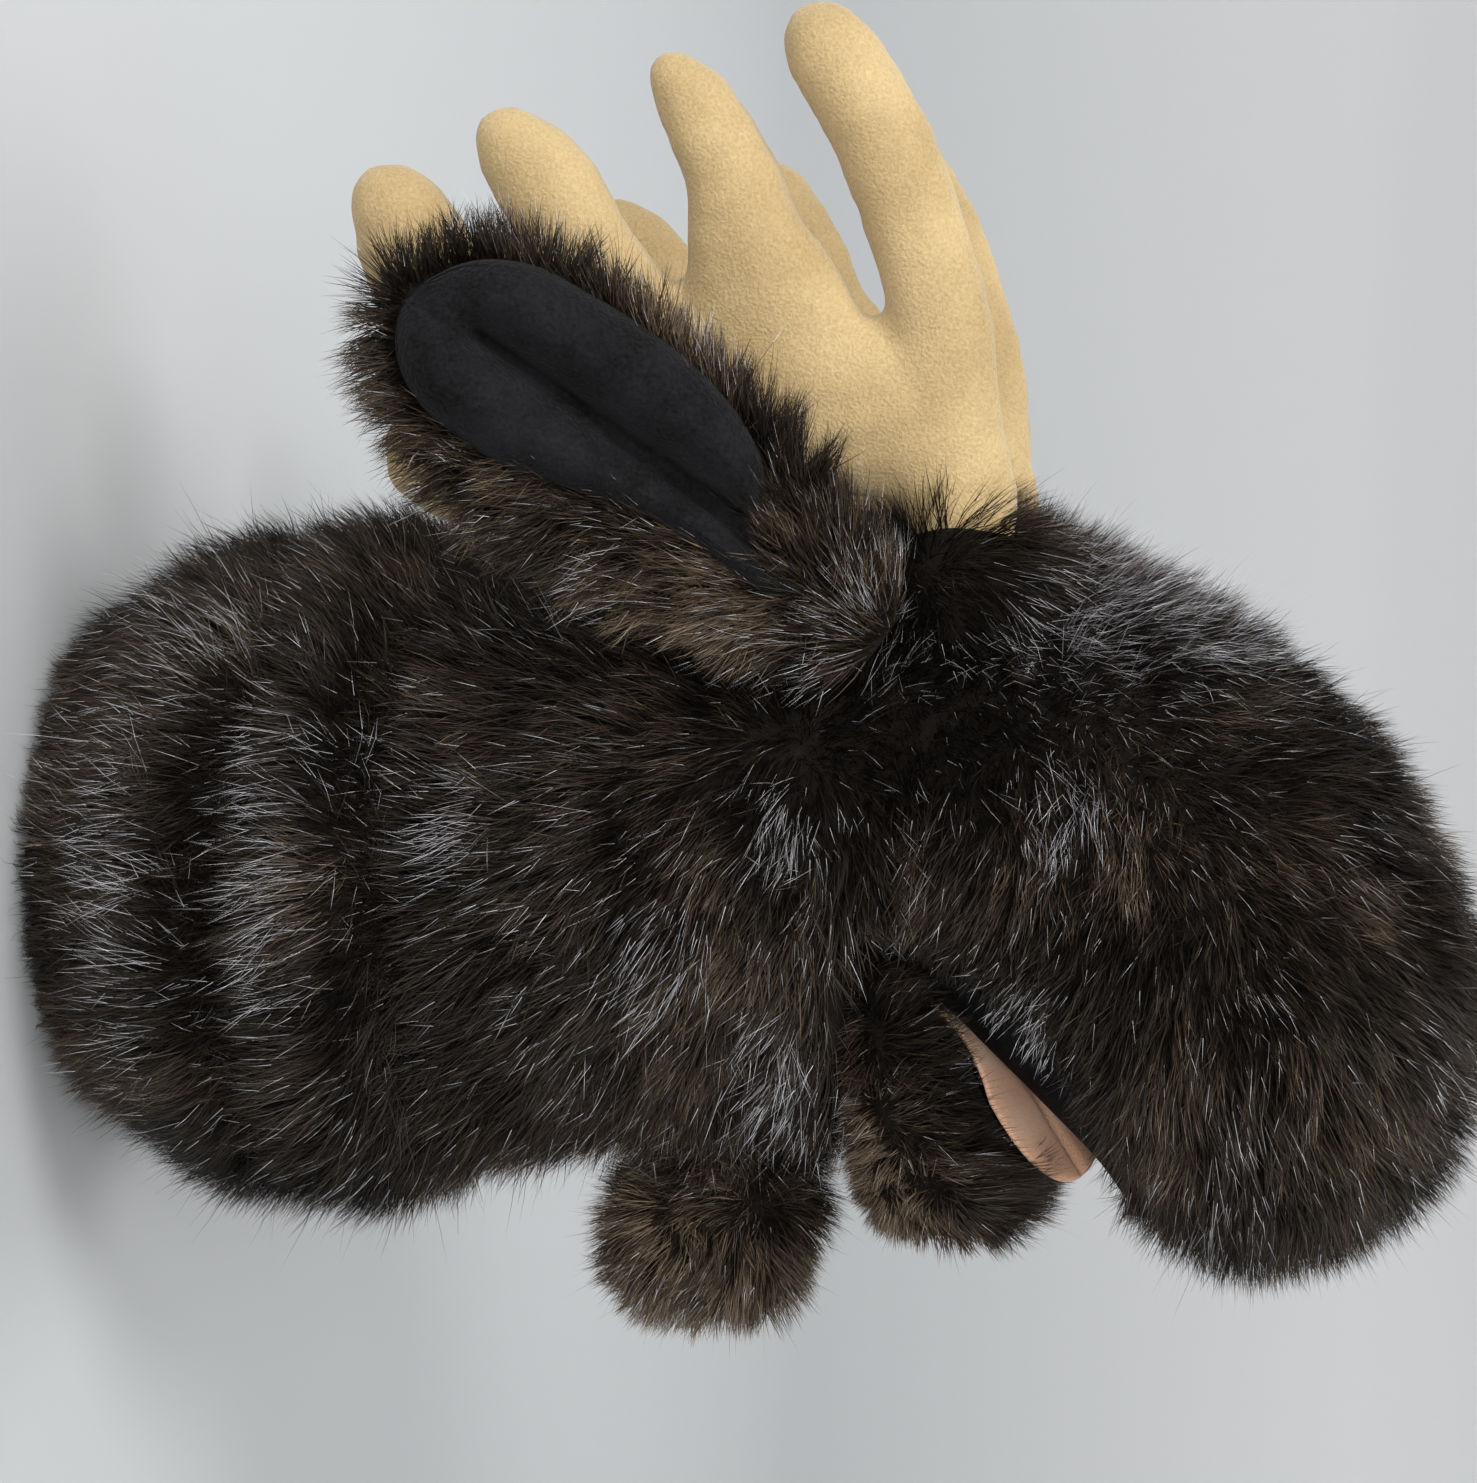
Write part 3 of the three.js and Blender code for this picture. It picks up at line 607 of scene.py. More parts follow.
def fur(name, seed, surface, pile, per_mm2):
    """One piece of fur on a surface of (vertices, quads, normals).

    The pile is a function that gives flow, length, lift and brownness at the strands' roots.
    """
    draw = np.random.default_rng(seed)
    width_scale = 1.0
    roots, normals = plant(draw, *surface, per_mm2)
    flow, length, lift, brown = pile(roots, normals)
    count = len(roots)
    patch = 0.6 * swell(roots, 55, 5) + 0.4 * swell(roots, 16, 6)
    shining = glint(roots)
    # painted highlights: more strands become silver-tipped guard hairs where the glints lie
    guard = draw.random(count) < GUARD_SHARE + GLINT_SHARE * shining
    stray = draw.random(count) < STRAY_SHARE
    length = length * draw.uniform(0.7, 1.05, count) * (1 + 0.12 * swell(roots, 12, 8))
    length = np.where(guard, length * 1.2, length)
    length = np.where(stray, length * 1.4, length)
    lift = lift + np.where(stray, 0.25, 0)
    lines = grow(draw, roots, normals, flow, length, lift, stray)
    level = 0.95 + brown + 1.7 * patch + draw.normal(0, 0.6, count)
    shades = np.clip(np.round(level), BLACK, TAWNY).astype(int)
    lighter = draw.random(count) < 0.35
    tips = np.minimum(shades + lighter, TAWNY)
    tips = np.where(guard, SILVER_GLINT, tips)
    # painted highlights: more guard hairs get grey middles where the glints lie
    shades = np.where(guard & (draw.random(count) < 0.2 + 0.6 * shining), GREY_GLINT, shades)
    width = STRAND_WIDTH * width_scale * draw.uniform(0.7, 1.15, count) * np.where(guard | stray, 0.6, 1)
    piece = ribbon_mesh(name, draw, lines, normals, shades, tips, width)
    return piece


# ---- skins that the pile grows from ----
SKIN_DEPTH = 7  # the cloth that the pile grows from lies this far under the CAD surface
JAW_SKIN_DEPTH = 5
THROAT_TOP = 213  # the throat's pile reaches up under the jaw
JAW_BLOCK_LENGTH, JAW_BLOCK_TOP = 140, 460
# The upper lip arches up along the mouth: forward, rise over the palate's line.
LIP_ARCH = [(15, 0), (34, 8), (52, 13), (72, 14), (92, 8), (107, 1), (118, -3)]
# The stump that an antler is sewn on runs out from the crown: x, z and radius.
PEDICLE = [(-45, 246, 19), (-72, 244, 19), (-82, 243, 16), (-88, 242, 9)]
# The slack sleeve slouches into soft rings: height, depth of the fold, reach up and down.
FOLDS = [(66, 13, 9), (106, 5, 9), (26, 5, 7), (46, -3, 7), (90, -5, 9)]


def tube_ring(z, x, half_x, half_y, inset):
    return ring(np.array([x, 0, z]), X_AXIS, Y_AXIS, half_x - inset, half_y - inset)


def head_shell(inset):
    middle = (HEAD[0][0] + HEAD[-1][0]) / 2
    shrink = 1 - inset / (HEAD[-1][0] - middle)
    rings = []
    for f, u, a, b in smooth_rows(HEAD):
        centre = head_point(middle + (f - middle) * shrink, u)
        sizes = max(a - inset, 2), max(b - inset, 2)
        rings.append(ring(centre, UP, np.cross(FORWARD, UP), *sizes, HEAD_POWER))
    return loft(rings)


def prism(outline):
    """A closed block over an outline of (x, z) points, along the whole of Y."""
    near = np.array([(x, -FAR, z) for x, z in outline])
    far = np.array([(x, FAR, z) for x, z in outline])
    return loft([near, far])


def lip_rise(f):
    places, rises = np.array(LIP_ARCH, float).T
    return np.interp(f, places, rises)


def above_lip(f, u):
    """How far a place in the head lies above the upper lip's line."""
    return u - PALATE_U - lip_rise(f)


def mouth_space():
    """The block under the upper lip, from the back of the mouth out past the nose."""
    lip = [head_point(f, PALATE_U + lip_rise(f)) for f in np.linspace(MOUTH_BACK_F, LIP_F, 16)]
    lip.append(head_point(LIP_F, -2 * FAR))
    return prism([(MOUTH_BACK_X, NAPE_TOP - 1), *[(point[0], point[2]) for point in lip]])


def jaw_top(x):
    return JAW_PLANE_Z + (x - JAW_PLANE_X) * math.tan(JAW_SLOPE)


def crosswise(table, inset, power):
    """A closed shell through sections along X."""
    rings = []
    rows = smooth_rows(table)
    for i, (x, low, high, half) in enumerate(rows):
        end = inset if i == 0 else -inset if i == len(rows) - 1 else 0
        height = max((high - low) / 2 - inset, 1)
        centre = np.array([x + end, 0, (low + high) / 2])
        rings.append(ring(centre, Y_AXIS, Z_AXIS, half - inset, height, power))
    return loft(rings)


def pedicle(side):
    """The short stump of the head that an antler is sewn on."""
    c, s = math.cos(ANTLER_SPLAY), math.sin(ANTLER_SPLAY)
    rings = []
    for x, z, half in smooth_rows(PEDICLE, 3):
        run = x - ANTLER_ROOT_X
        place = np.array([ANTLER_ROOT_X + run * c, side * (ANTLER_ROOT_Y - run * s), z])
        rings.append(ring(place, Y_AXIS, Z_AXIS, half, half))
    return loft(rings)


def slouch(vertices):
    """Folds round the sleeve, deepest on the sides and uneven round it."""
    x, y, z = vertices.T
    angle = np.arctan2(y, x)
    inward = unit(np.stack([-x, -y, np.zeros_like(z)], 1))
    sideways = 0.35 + 0.65 * np.sin(angle) ** 2
    depth = np.zeros_like(z)
    for i, (height, fold, reach) in enumerate(FOLDS):
        wander = height + 3.5 * np.sin(2 * angle + i) + 1.8 * np.sin(5 * angle + 2.1 * i)
        vary = sideways * (1 + 0.3 * np.sin(3 * angle + 1.3 * i))
        depth += fold * vary * bell(z, wander, reach)
    return vertices + inward * depth[:, None]


def skin_of(shells, voxel, rounds, shaped=lambda vertices: vertices):
    """One surface of (vertices, quads, normals) from closed shells."""
    vertices, quads = merged(shells, voxel, rounds)
    vertices = shaped(vertices)
    return vertices, quads, vertex_normals(vertices, quads)


def body_shells():
    """Sleeve with neck, head, and the stumps of the antlers."""
    tube = loft([tube_ring(*row, SKIN_DEPTH) for row in smooth_rows(TUBE)])
    front = [(MOUTH_BACK_X, THROAT_TOP), (MOUTH_BACK_X, 2 * FAR), (FAR, 2 * FAR), (FAR, THROAT_TOP)]
    head = cut_away(head_shell(SKIN_DEPTH), mouth_space())
    return [cut_away(tube, prism(front)), head, pedicle(-1), pedicle(1)]


def jaw_shell():
    """The lower jaw, cut off level with the underside of its palate."""
    back, front = 0, JAW_BLOCK_LENGTH
    cut = [(x, jaw_top(x) - PALATE_THICKNESS) for x in (back, front)]
    block = prism([(back, JAW_BLOCK_TOP), *cut, (front, JAW_BLOCK_TOP)])
    return cut_away(crosswise(JAW, JAW_SKIN_DEPTH, JAW_POWER), block)


body = skin_of(body_shells(), voxel=3.0, rounds=10, shaped=slouch)
jaw_skin = skin_of([jaw_shell()], voxel=2.6, rounds=6)
dewlap_shell = crosswise(DEWLAP, JAW_SKIN_DEPTH, DEWLAP_POWER)
dewlap_skin = skin_of([dewlap_shell], voxel=2.6, rounds=6)

# Which of the body's faces belong to which piece.
body_vertices, body_quads, body_normals = body
centre = body_vertices[body_quads].mean(1)
facing = body_normals[body_quads].mean(1)
head_f, head_u = in_head_frame(centre)
open_end = (centre[:, 2] < 2.5) & (facing[:, 2] < -0.6)
in_sleeve = (centre[:, 2] < WRIST_Z) & ~open_end
in_neck = (centre[:, 2] >= WRIST_Z) & (centre[:, 2] < HEAD_BOTTOM)
in_throat = (centre[:, 2] >= HEAD_BOTTOM) & (centre[:, 2] < THROAT_TOP + 1) & (centre[:, 0] > THROAT_X)
in_throat &= head_u < PALATE_U
throat_lid = in_throat & (facing[:, 2] > 0.6)
in_head = ~(open_end | in_sleeve | in_neck | in_throat)
roof = in_head & (above_lip(head_f, head_u) < 3) & (facing @ UP < -0.6)
roof &= (head_f > MOUTH_BACK_F) & (head_f < LIP_F - 3)
outer_head = in_head & ~roof


# ---- cloth backings ----
CLOTH_DEPTH = 2.0


def thick(vertices, quads, normals):
    """A closed layer of cloth under an open surface."""
    count = len(vertices)
    edges = np.concatenate([quads[:, [k, (k + 1) % 4]] for k in range(4)])
    known = {tuple(edge) for edge in edges}
    rim = [(b, a, a + count, b + count) for a, b in known if (b, a) not in known]
    faces = [tuple(q) for q in quads] + [tuple(q[::-1] + count) for q in quads] + sorted(rim)
    return np.concatenate([vertices, vertices - normals * CLOTH_DEPTH]), faces


def backing(name, surface, keep=slice(None)):
    vertices, quads, normals = surface
    chosen = quads[keep]
    used, inverse = np.unique(chosen, return_inverse=True)
    layer = thick(vertices[used], inverse.reshape(chosen.shape), normals[used])
    return add_object(name, *layer, backing_cloth)


def ride_sleeve(piece):
    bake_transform(piece)


def ride_neck(piece):
    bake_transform(piece)


def ride_throat(piece):
    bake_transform(piece)


def ride_head(piece):
    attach(piece, "head")


sleeve_backing = backing("sleeve_backing", body, in_sleeve)
ride_sleeve(sleeve_backing)
neck_backing = backing("neck_backing", body, in_neck)
ride_neck(neck_backing)
throat_backing = backing("throat_backing", body, in_throat)
ride_throat(throat_backing)
head_backing = backing("head_backing", body, in_head)
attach(head_backing, "head")
jaw_backing = backing("jaw_backing", jaw_skin)
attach(jaw_backing, "lower_jaw")
dewlap_backing = backing("dewlap_backing", dewlap_skin)
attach(dewlap_backing, "dewlap")

# ---- the pile ----
PIT = np.array([-42.0, 66.0, 203.0])  # on each side, where the pile parts in every direction
SHADE_PATCH_X, SHADE_PATCH_Z = -3, 226  # behind the mouth's corner: painted shade, where the pile's colour is darkened
BODY_PILE = 1.15  # strands a square millimetre
JAW_LEAN = np.array([-math.sin(JAW_SLOPE), 0, math.cos(JAW_SLOPE)])  # square to the jaw's top
BARE_INSET = 15  # the cloth of the mouth starts this far in from the jaw's edge


def from_pit(roots, reach):
    """Directions away from the nearer pit, and how near it is, from 0 to 1."""
    side = np.where(roots[:, 1] < 0, -1.0, 1.0)
    away = roots - PIT * np.stack([np.ones(len(roots)), side, np.ones(len(roots))], 1)
    near = np.exp(-((np.linalg.norm(away, axis=1) / reach) ** 2))[:, None]
    return unit(away), near


def sleeve_pile(roots, normals):
    """Pile that falls down the sleeve and neck, shorter and more erect at the hem."""
    x, _, z = roots.T
    away, near = from_pit(roots, 95)
    waver = swirl(roots, 60, 31) * (0.35, 0.35, 0)
    fall = bell(z, 178, 26) * np.clip(x / 45, 0, 1)
    flow = unit(away * near * 1.3 - Z_AXIS * (1 - 0.75 * near) + X_AXIS * 1.5 * fall[:, None] + waver)
    at_hem = np.clip((14 - z) / 14, 0, 1)
    at_front = np.clip((x - 45) / 30, 0, 1)
    lift = 0.3 + 0.1 * swell(roots, 40, 21) + 0.35 * at_hem + 0.12 * at_front
    return flow, np.interp(z, [0, 12, 30], [13, 17, 20]), lift, 0


def throat_pile(roots, normals):
    flow, _, lift, brown = sleeve_pile(roots, normals)
    return flow, 19, lift, brown


def head_pile(roots, normals):
    """Pile that is short and flat over the upper lip, long round the antlers' stumps and over the eyes."""
    f, u = in_head_frame(roots)
    dive = np.interp(u, [-40, -15, 5, 30, 60], [1.35, 1.15, 0.8, 0.45, 0.1])
    dive *= np.interp(f, [70, 110, 150], [1.0, 0.75, 0.4])
    along = FORWARD * np.cos(dive)[:, None] - UP * np.sin(dive)[:, None]
    away, near = from_pit(roots, 55)
    flow = unit(away * near * 1.2 + along * (1 - 0.8 * near) + swirl(roots, 50, 33) * 0.25)
    above = above_lip(f, u)
    at_edge = np.interp(f, [MOUTH_BACK_F, 80, 110], [7, 9, 19])
    at_lip = (above < 22) & (f > MOUTH_BACK_F)
    length = np.where(at_lip, at_edge + (17 - at_edge) * np.clip(above / 22, 0, 1), 17)
    from_brow = (f - EYE_F) ** 2 + (u - EYE_U - 6) ** 2
    length = length + 3 * bell(roots[:, 0], -84, 14) + 4 * np.exp(-from_brow / 11**2)
    over_lip = np.clip(1 - above / 16, 0, 1) * (f > MOUTH_BACK_F) * (f < LIP_F + 12)
    lift = 0.48 + 0.14 * swell(roots, 35, 22) - 0.25 * over_lip
    # Painted shade: the pile's colour is darkened round the patch behind the mouth's corner.
    from_shade_patch = ((roots[:, 0] - SHADE_PATCH_X) / 28) ** 2 + ((roots[:, 2] - SHADE_PATCH_Z) / 16) ** 2
    return flow, length, lift, -0.9 * np.exp(-from_shade_patch)


def half_of(surface, keep, side):
    """One side's faces of a surface, as vertices, quads and normals."""
    vertices, quads, normals = surface
    middle = vertices[quads].mean(1)[:, 1]
    return vertices, quads[keep & (middle * side >= 0)], normals


for k, (side_name, side) in enumerate(SIDES.items()):
    for part, seed, keep, pile, ride_part in (
        ("sleeve", 100, in_sleeve, sleeve_pile, ride_sleeve),
        ("neck", 110, in_neck, sleeve_pile, ride_neck),
        ("cheek", 120, outer_head & (head_f < MUZZLE_START_F), head_pile, ride_head),
        ("muzzle", 130, outer_head & (head_f >= MUZZLE_START_F), head_pile, ride_head),
    ):
        surface = half_of(body, keep, side)
        ride_part(fur(f"{part}_fur_{side_name}", seed + k, surface, pile, BODY_PILE))

throat = (body_vertices, body_quads[in_throat & ~throat_lid], body_normals)
ride_throat(fur("throat_fur", 140, throat, throat_pile, per_mm2=1.3))


def jaw_hairy():
    """The jaw's skin without the bare top, which the mouth's cloth covers."""
    vertices, quads, normals = jaw_skin
    x, y, z = vertices[quads].mean(1).T
    half = np.array([row_at(JAW, place)[2] for place in x])
    bare = (normals[quads].mean(1) @ JAW_LEAN > 0.8) & (z > jaw_top(x) - 7)
    bare &= (np.abs(y) < half - BARE_INSET) & (x < JAW[-1][0] - BARE_INSET)
    return vertices, quads[~bare], normals


def jaw_pile(roots, normals):
    """Short curls, longer and leaning up to the mouth at the lip."""
    at_lip = np.clip(1 - (jaw_top(roots[:, 0]) - roots[:, 2]) / 20, 0, 1)
    lean = JAW_LEAN * at_lip[:, None] * 1.5
    flow = unit(np.array([0.7, 0, 0.2]) + lean + swirl(roots, 14, 41) * 0.7)
    lift = 0.6 - 0.35 * at_lip * (normals @ JAW_LEAN < 0.5)
    return flow, 9 + 8 * at_lip, lift, 2.0 - 2.0 * at_lip


def dewlap_pile(roots, normals):
    flow = unit(np.array([0.8, 0, -0.35]) + swirl(roots, 14, 44) * 0.6)
    return flow, np.interp(roots[:, 0], [75, 95], [18, 13]), 0.55, 1.6


jaw_fur = fur("jaw_fur", 150, jaw_hairy(), jaw_pile, per_mm2=2.4)
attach(jaw_fur, "lower_jaw")
dewlap_fur = fur("dewlap_fur", 160, dewlap_skin, dewlap_pile, per_mm2=2.0)
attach(dewlap_fur, "dewlap")

# ---- antlers: two plush faces sewn round a firm filling ----
SEAM_DEPTH = 0.9
SEAM_HALF_WIDTH = 1.3


def antler_branch(rows):
    rows = smooth_rows(rows, 4)
    line = np.stack([rows[:, 0] - ANTLER_ROOT_X, np.zeros(len(rows)), rows[:, 1]], 1)
    ahead = unit(np.gradient(line, axis=0))
    rings = []
    for place, direction, half in zip(line, ahead, rows[:, 2]):
        half = max(half, 1.5)
        deep = min(half, ANTLER_HALF_THICKNESS)
        rings.append(ring(place, np.cross(Y_AXIS, direction), Y_AXIS, half, deep, count=32))
    return loft(rings)


def antler_skin():
    """The right antler, shaped in its own plane with the seam round its edge drawn in."""
    vertices, quads = merged([antler_branch(rows) for rows in ANTLER.values()], voxel=2.2, rounds=12)
    normals = vertex_normals(vertices, quads)
    soft = 0.5 * swell(vertices, 28, 51) + 0.25 * swell(vertices, 11, 52)
    edge = bell(vertices[:, 1], 0, SEAM_HALF_WIDTH) * (1 - np.abs(normals[:, 1]))
    vertices = vertices + normals * (0.9 * soft - SEAM_DEPTH * edge)[:, None]
    c, s = math.cos(ANTLER_SPLAY), math.sin(ANTLER_SPLAY)
    x, y, z = vertices.T
    return np.stack([x * c - y * s + ANTLER_ROOT_X, x * s + y * c - ANTLER_ROOT_Y, z], 1), quads


def for_side(side_name, vertices, faces):
    """A right-hand shape as it is, or mirrored for the left."""
    if side_name == "right":
        return vertices, faces
    return vertices * MIRROR, [tuple(face)[::-1] for face in faces]


antler_shape = antler_skin()
for side_name in SIDES:
    antler = add_object(f"antler_{side_name}", *for_side(side_name, *antler_shape), antler_plush)
    smooth = antler.modifiers.new("smooth", "SUBSURF")
    smooth.levels = 1
    smooth.render_levels = 1
    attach(antler, "head")
    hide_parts(*[f"antler_{side_name}_{part}" for part in ("outer", "inner", "filling")])

# ---- ears: a fur back with a fleece lining sewn into it ----
EAR_ALONG = unit(EAR_TIP - EAR_ROOT)
EAR_LENGTH = float(np.linalg.norm(EAR_TIP - EAR_ROOT))
EAR_OUT = unit(-Y_AXIS - (-Y_AXIS @ EAR_ALONG) * EAR_ALONG)
EAR_ACROSS = np.cross(EAR_OUT, EAR_ALONG)
EAR_CUP, EAR_CUP_WIDTH = 5.0, 30.0  # the edges curl out towards the lining, this far at that width
EAR_BACK_MIDDLE = 2.0
EAR_SEAT = 5.6  # the lining is sewn on at this height over the ear's middle
ROLL_HEIGHT = 16.0
ROLL_REACH = 11.0  # from a roll's edge in to its crown
FUR_UNDER = 3  # the pile starts this far in under the lining's edge
# The lining's outline, as distances from the ear's root with half widths to either side.
LINING_UPPER = [
    (24, 2.5), (38, 3.5), (42, 9), (49, 18), (60, 24), (75, 27.5), (90, 28),
    (105, 27), (119, 25), (129, 20), (135, 14), (139, 6), (140, 1),
]
LINING_LOWER = [
    (24, 1.5), (27, 5), (36, 7.5), (49, 7.5), (62, 8), (77, 11.5), (89, 15.5),
    (102, 18.5), (119, 18.5), (129, 15.5), (135, 11), (139, 5), (140, 1),
]
# The fold between the rolls: distance from the root, place across, half width.
CREASE = [(24, -1.5, 1.6), (40, -3, 2.8), (60, -4, 2.4), (100, -4, 1.5), (122, -4, 0.7)]
CREASE_ACROSS = 4  # about how far the fold lies off the lining's middle line


def ear_to_part(points):
    """From along, across and out of the ear to the part, with the ear's cup."""
    out = points[:, 2:] + EAR_CUP * (points[:, 1:2] / EAR_CUP_WIDTH) ** 2
    return EAR_ROOT + points[:, :1] * EAR_ALONG + points[:, 1:2] * EAR_ACROSS + out * EAR_OUT


def ear_half(along):
    """Half the ear's width on a smooth line through its table, at distances from the root."""
    places, halves = smooth_rows(EAR_BACK, 8).T
    return np.interp(along / EAR_LENGTH, places, halves)


def ear_back_skin():
    rings = []
    for along, half in smooth_rows([(share * EAR_LENGTH, half) for share, half in EAR_BACK], 4):
        thickness = min(EAR_BACK_THICKNESS / 2, max(half, 1.0))
        place = np.array([along, 0, EAR_BACK_MIDDLE])
        rings.append(ring(place, Y_AXIS, Z_AXIS, max(half - 2, 0.6), thickness, 2.4, 40))
    vertices, faces = loft(rings)
    quads = np.array([face for face in faces if len(face) == 4])
    if np.linalg.det(np.stack([EAR_ALONG, EAR_ACROSS, EAR_OUT])) < 0:
        quads = quads[:, ::-1]
    return ear_to_part(vertices), faces, quads


def lining_half(table, along):
    """The lining's width to one side; 0 beyond its ends."""
    places, halves = smooth_rows(table, 6).T
    return np.interp(along, places, halves, left=0, right=0)


def roll_rise(grid, upper, lower, columns):
    """How high the lining stands over its seat: two round rolls with the fold between them."""
    along = grid[::columns, 0]
    edge = np.concatenate([np.stack([along, lower], 1), np.stack([along, -upper], 1)])
    to_edge = np.min(np.linalg.norm(grid[:, None] - edge[None], axis=2), 1)
    fold = smooth_rows(CREASE, 12)
    from_fold = np.linalg.norm(grid[:, None] - fold[None, :, :2], axis=2) - fold[None, :, 2]
    to_fold = np.maximum(from_fold.min(1), 0)
    roll_width = np.where(
        grid[:, 1] < 0, np.repeat(upper, columns) - CREASE_ACROSS, np.repeat(lower, columns) + CREASE_ACROSS
    )
    reach = np.clip(roll_width * 0.5, 3, ROLL_REACH)
    near = np.clip(np.minimum(to_edge, to_fold) / reach, 0, 1)
    rise = ROLL_HEIGHT * np.sqrt(1 - (1 - near) ** 2) * np.clip(reach / ROLL_REACH, 0.3, 1)
    return rise + 0.5 * swell(np.stack([grid[:, 0], grid[:, 1], 0 * rise], 1), 22, 61) * near


def ear_lining():
    """One pad folded lengthwise into two rolls that join round the tip."""
    first, last = LINING_UPPER[0][0], LINING_UPPER[-1][0]
    along = first + eased(90) * (last - first)
    upper = np.maximum(lining_half(LINING_UPPER, along), 1)
    lower = np.maximum(lining_half(LINING_LOWER, along), 1)
    v = np.sin(np.linspace(-1, 1, 71) * math.pi / 2)
    rows, columns = len(along), len(v)
    across = np.where(v[None, :] < 0, upper[:, None] * v, lower[:, None] * v)
    grid = np.stack([np.repeat(along, columns), across.ravel()], 1)
    top = np.stack([*grid.T, EAR_SEAT + roll_rise(grid, upper, lower, columns)], 1)
    base = np.stack([*grid.T, np.full(len(grid), EAR_SEAT - 0.8)], 1)
    count = rows * columns
    faces = []
    for i in range(rows - 1):
        for j in range(columns - 1):
            a = i * columns + j
            quad = (a, a + 1, a + columns + 1, a + columns)
            faces += [quad, tuple(count + k for k in quad[::-1])]
    rim = [*range(columns), *range(2 * columns - 1, count, columns)]
    rim += [*range(count - 2, count - columns - 1, -1), *range(count - 2 * columns, 0, -columns)]
    for a, b in zip(rim, rim[1:] + rim[:1]):
        faces.append((b, a, count + a, count + b))
    return ear_to_part(np.concatenate([top, base])), faces


def ear_pile(flip):
    """Pile that leans from the middle line out over the edges and towards the tip."""

    def pile(roots, normals):
        rel = roots * flip - EAR_ROOT
        fan = (rel @ EAR_ACROSS) / np.maximum(ear_half(rel @ EAR_ALONG), 6)
        return unit(fan[:, None] * EAR_ACROSS + 0.75 * EAR_ALONG) * flip, 17, 0.35, 0.9

    return pile


ear_vertices, ear_faces, ear_quads = ear_back_skin()
fleece = ear_lining()
for k, side_name in enumerate(SIDES):
    back = add_object(
        f"ear_{side_name}_backing", *for_side(side_name, ear_vertices, ear_faces), backing_cloth
    )
    roll = add_object(f"ear_{side_name}_lining", *for_side(side_name, *fleece), ear_fleece)
    flip = MIRROR if side_name == "left" else 1.0
    vertices, quads = for_side(side_name, ear_vertices, ear_quads)
    quads = np.array(quads)
    normals = vertex_normals(vertices, quads)
    rel = vertices[quads].mean(1) * flip - EAR_ROOT
    along, across = rel @ EAR_ALONG, rel @ EAR_ACROSS
    covered = (across > FUR_UNDER - lining_half(LINING_UPPER, along)) & (
        across < lining_half(LINING_LOWER, along) - FUR_UNDER
    )
    covered &= normals[quads].mean(1) @ (EAR_OUT * flip) > 0.3
    surface = (vertices, quads[~covered], normals)
    ear_fur = fur(f"ear_{side_name}_fur", 170 + k, surface, ear_pile(flip), per_mm2=2.2)
    for piece in (back, roll, ear_fur):
        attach(piece, f"ear_{side_name}")
    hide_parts(f"ear_fur_{side_name}")
    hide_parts(f"ear_lining_{side_name}")

# ---- mouth ----
PALATE_EDGE = 6  # the upper palate stops this far inside the jaw's CAD outline
TONGUE_HALF_WIDTH = 25
TONGUE_THICKNESS = 3
TONGUE_CREASE, TONGUE_CREASE_HALF_WIDTH = 2.2, 1.8
TONGUE_CUP = 2.5
TONGUE_ROLL = math.radians(23)  # the felt hangs turned a little to its right
# The felt's middle line, from the back of the mouth to its tip: x and z.
TONGUE_PATH = [(36, 230), (42, 241), (50, 249), (60, 256), (70, 262), (81, 269)]


def head_half_width(f, u):
    centre_u, half_height, half_width = row_at(HEAD, f)
    share = min(abs(u - centre_u) / half_height, 1)
    return half_width * (1 - share**HEAD_POWER) ** (1 / HEAD_POWER)


def slab_ring(line, above, deep):
    """Points round a thin layer, from its middle line and its half depth along that."""
    return np.concatenate([line + np.outer(deep, above), (line - np.outer(deep, above))[::-1]])


def palate_end(place, first, last, reach):
    """A palate's share of its width, and half its thickness, both less near its ends."""
    share = math.sqrt(min(place - first, last - place, reach) / reach)
    return 0.85 + 0.15 * share, PALATE_THICKNESS / 2 * (0.4 + 0.6 * share)


def upper_palate():
    """The roof of the mouth, its sides sewn up to the arch of the lip."""
    rings = []
    v = np.linspace(-1, 1, 33)
    first, last = MOUTH_BACK_F, LIP_F - 1
    for f in np.linspace(first, last, 30):
        width_share, deep = palate_end(f, first, last, 8)
        half = (head_half_width(f, PALATE_U) - PALATE_EDGE) * width_share
        rise = PALATE_U - PALATE_THICKNESS / 2 + lip_rise(f) * v**2
        line = head_point(f, 0) + np.outer(rise, UP) + np.outer(v * half, Y_AXIS)
        rings.append(slab_ring(line, UP, deep * np.sqrt(1.02 - v**6)))
    return loft(rings)


def lower_palate():
    """The bare cloth on the jaw's top."""
    rings = []
    first, last = JAW[0][0] + 1, JAW[-1][0] - BARE_INSET + 6
    for x in np.linspace(first, last, 24):
        width_share, deep = palate_end(x, first, last, 6)
        half = (row_at(JAW, x)[2] - BARE_INSET + 2) * width_share
        place = np.array([x, 0, jaw_top(x)]) - JAW_LEAN * PALATE_THICKNESS / 2
        rings.append(ring(place, JAW_LEAN, Y_AXIS, deep, half, 2.8, 48))
    return loft(rings)


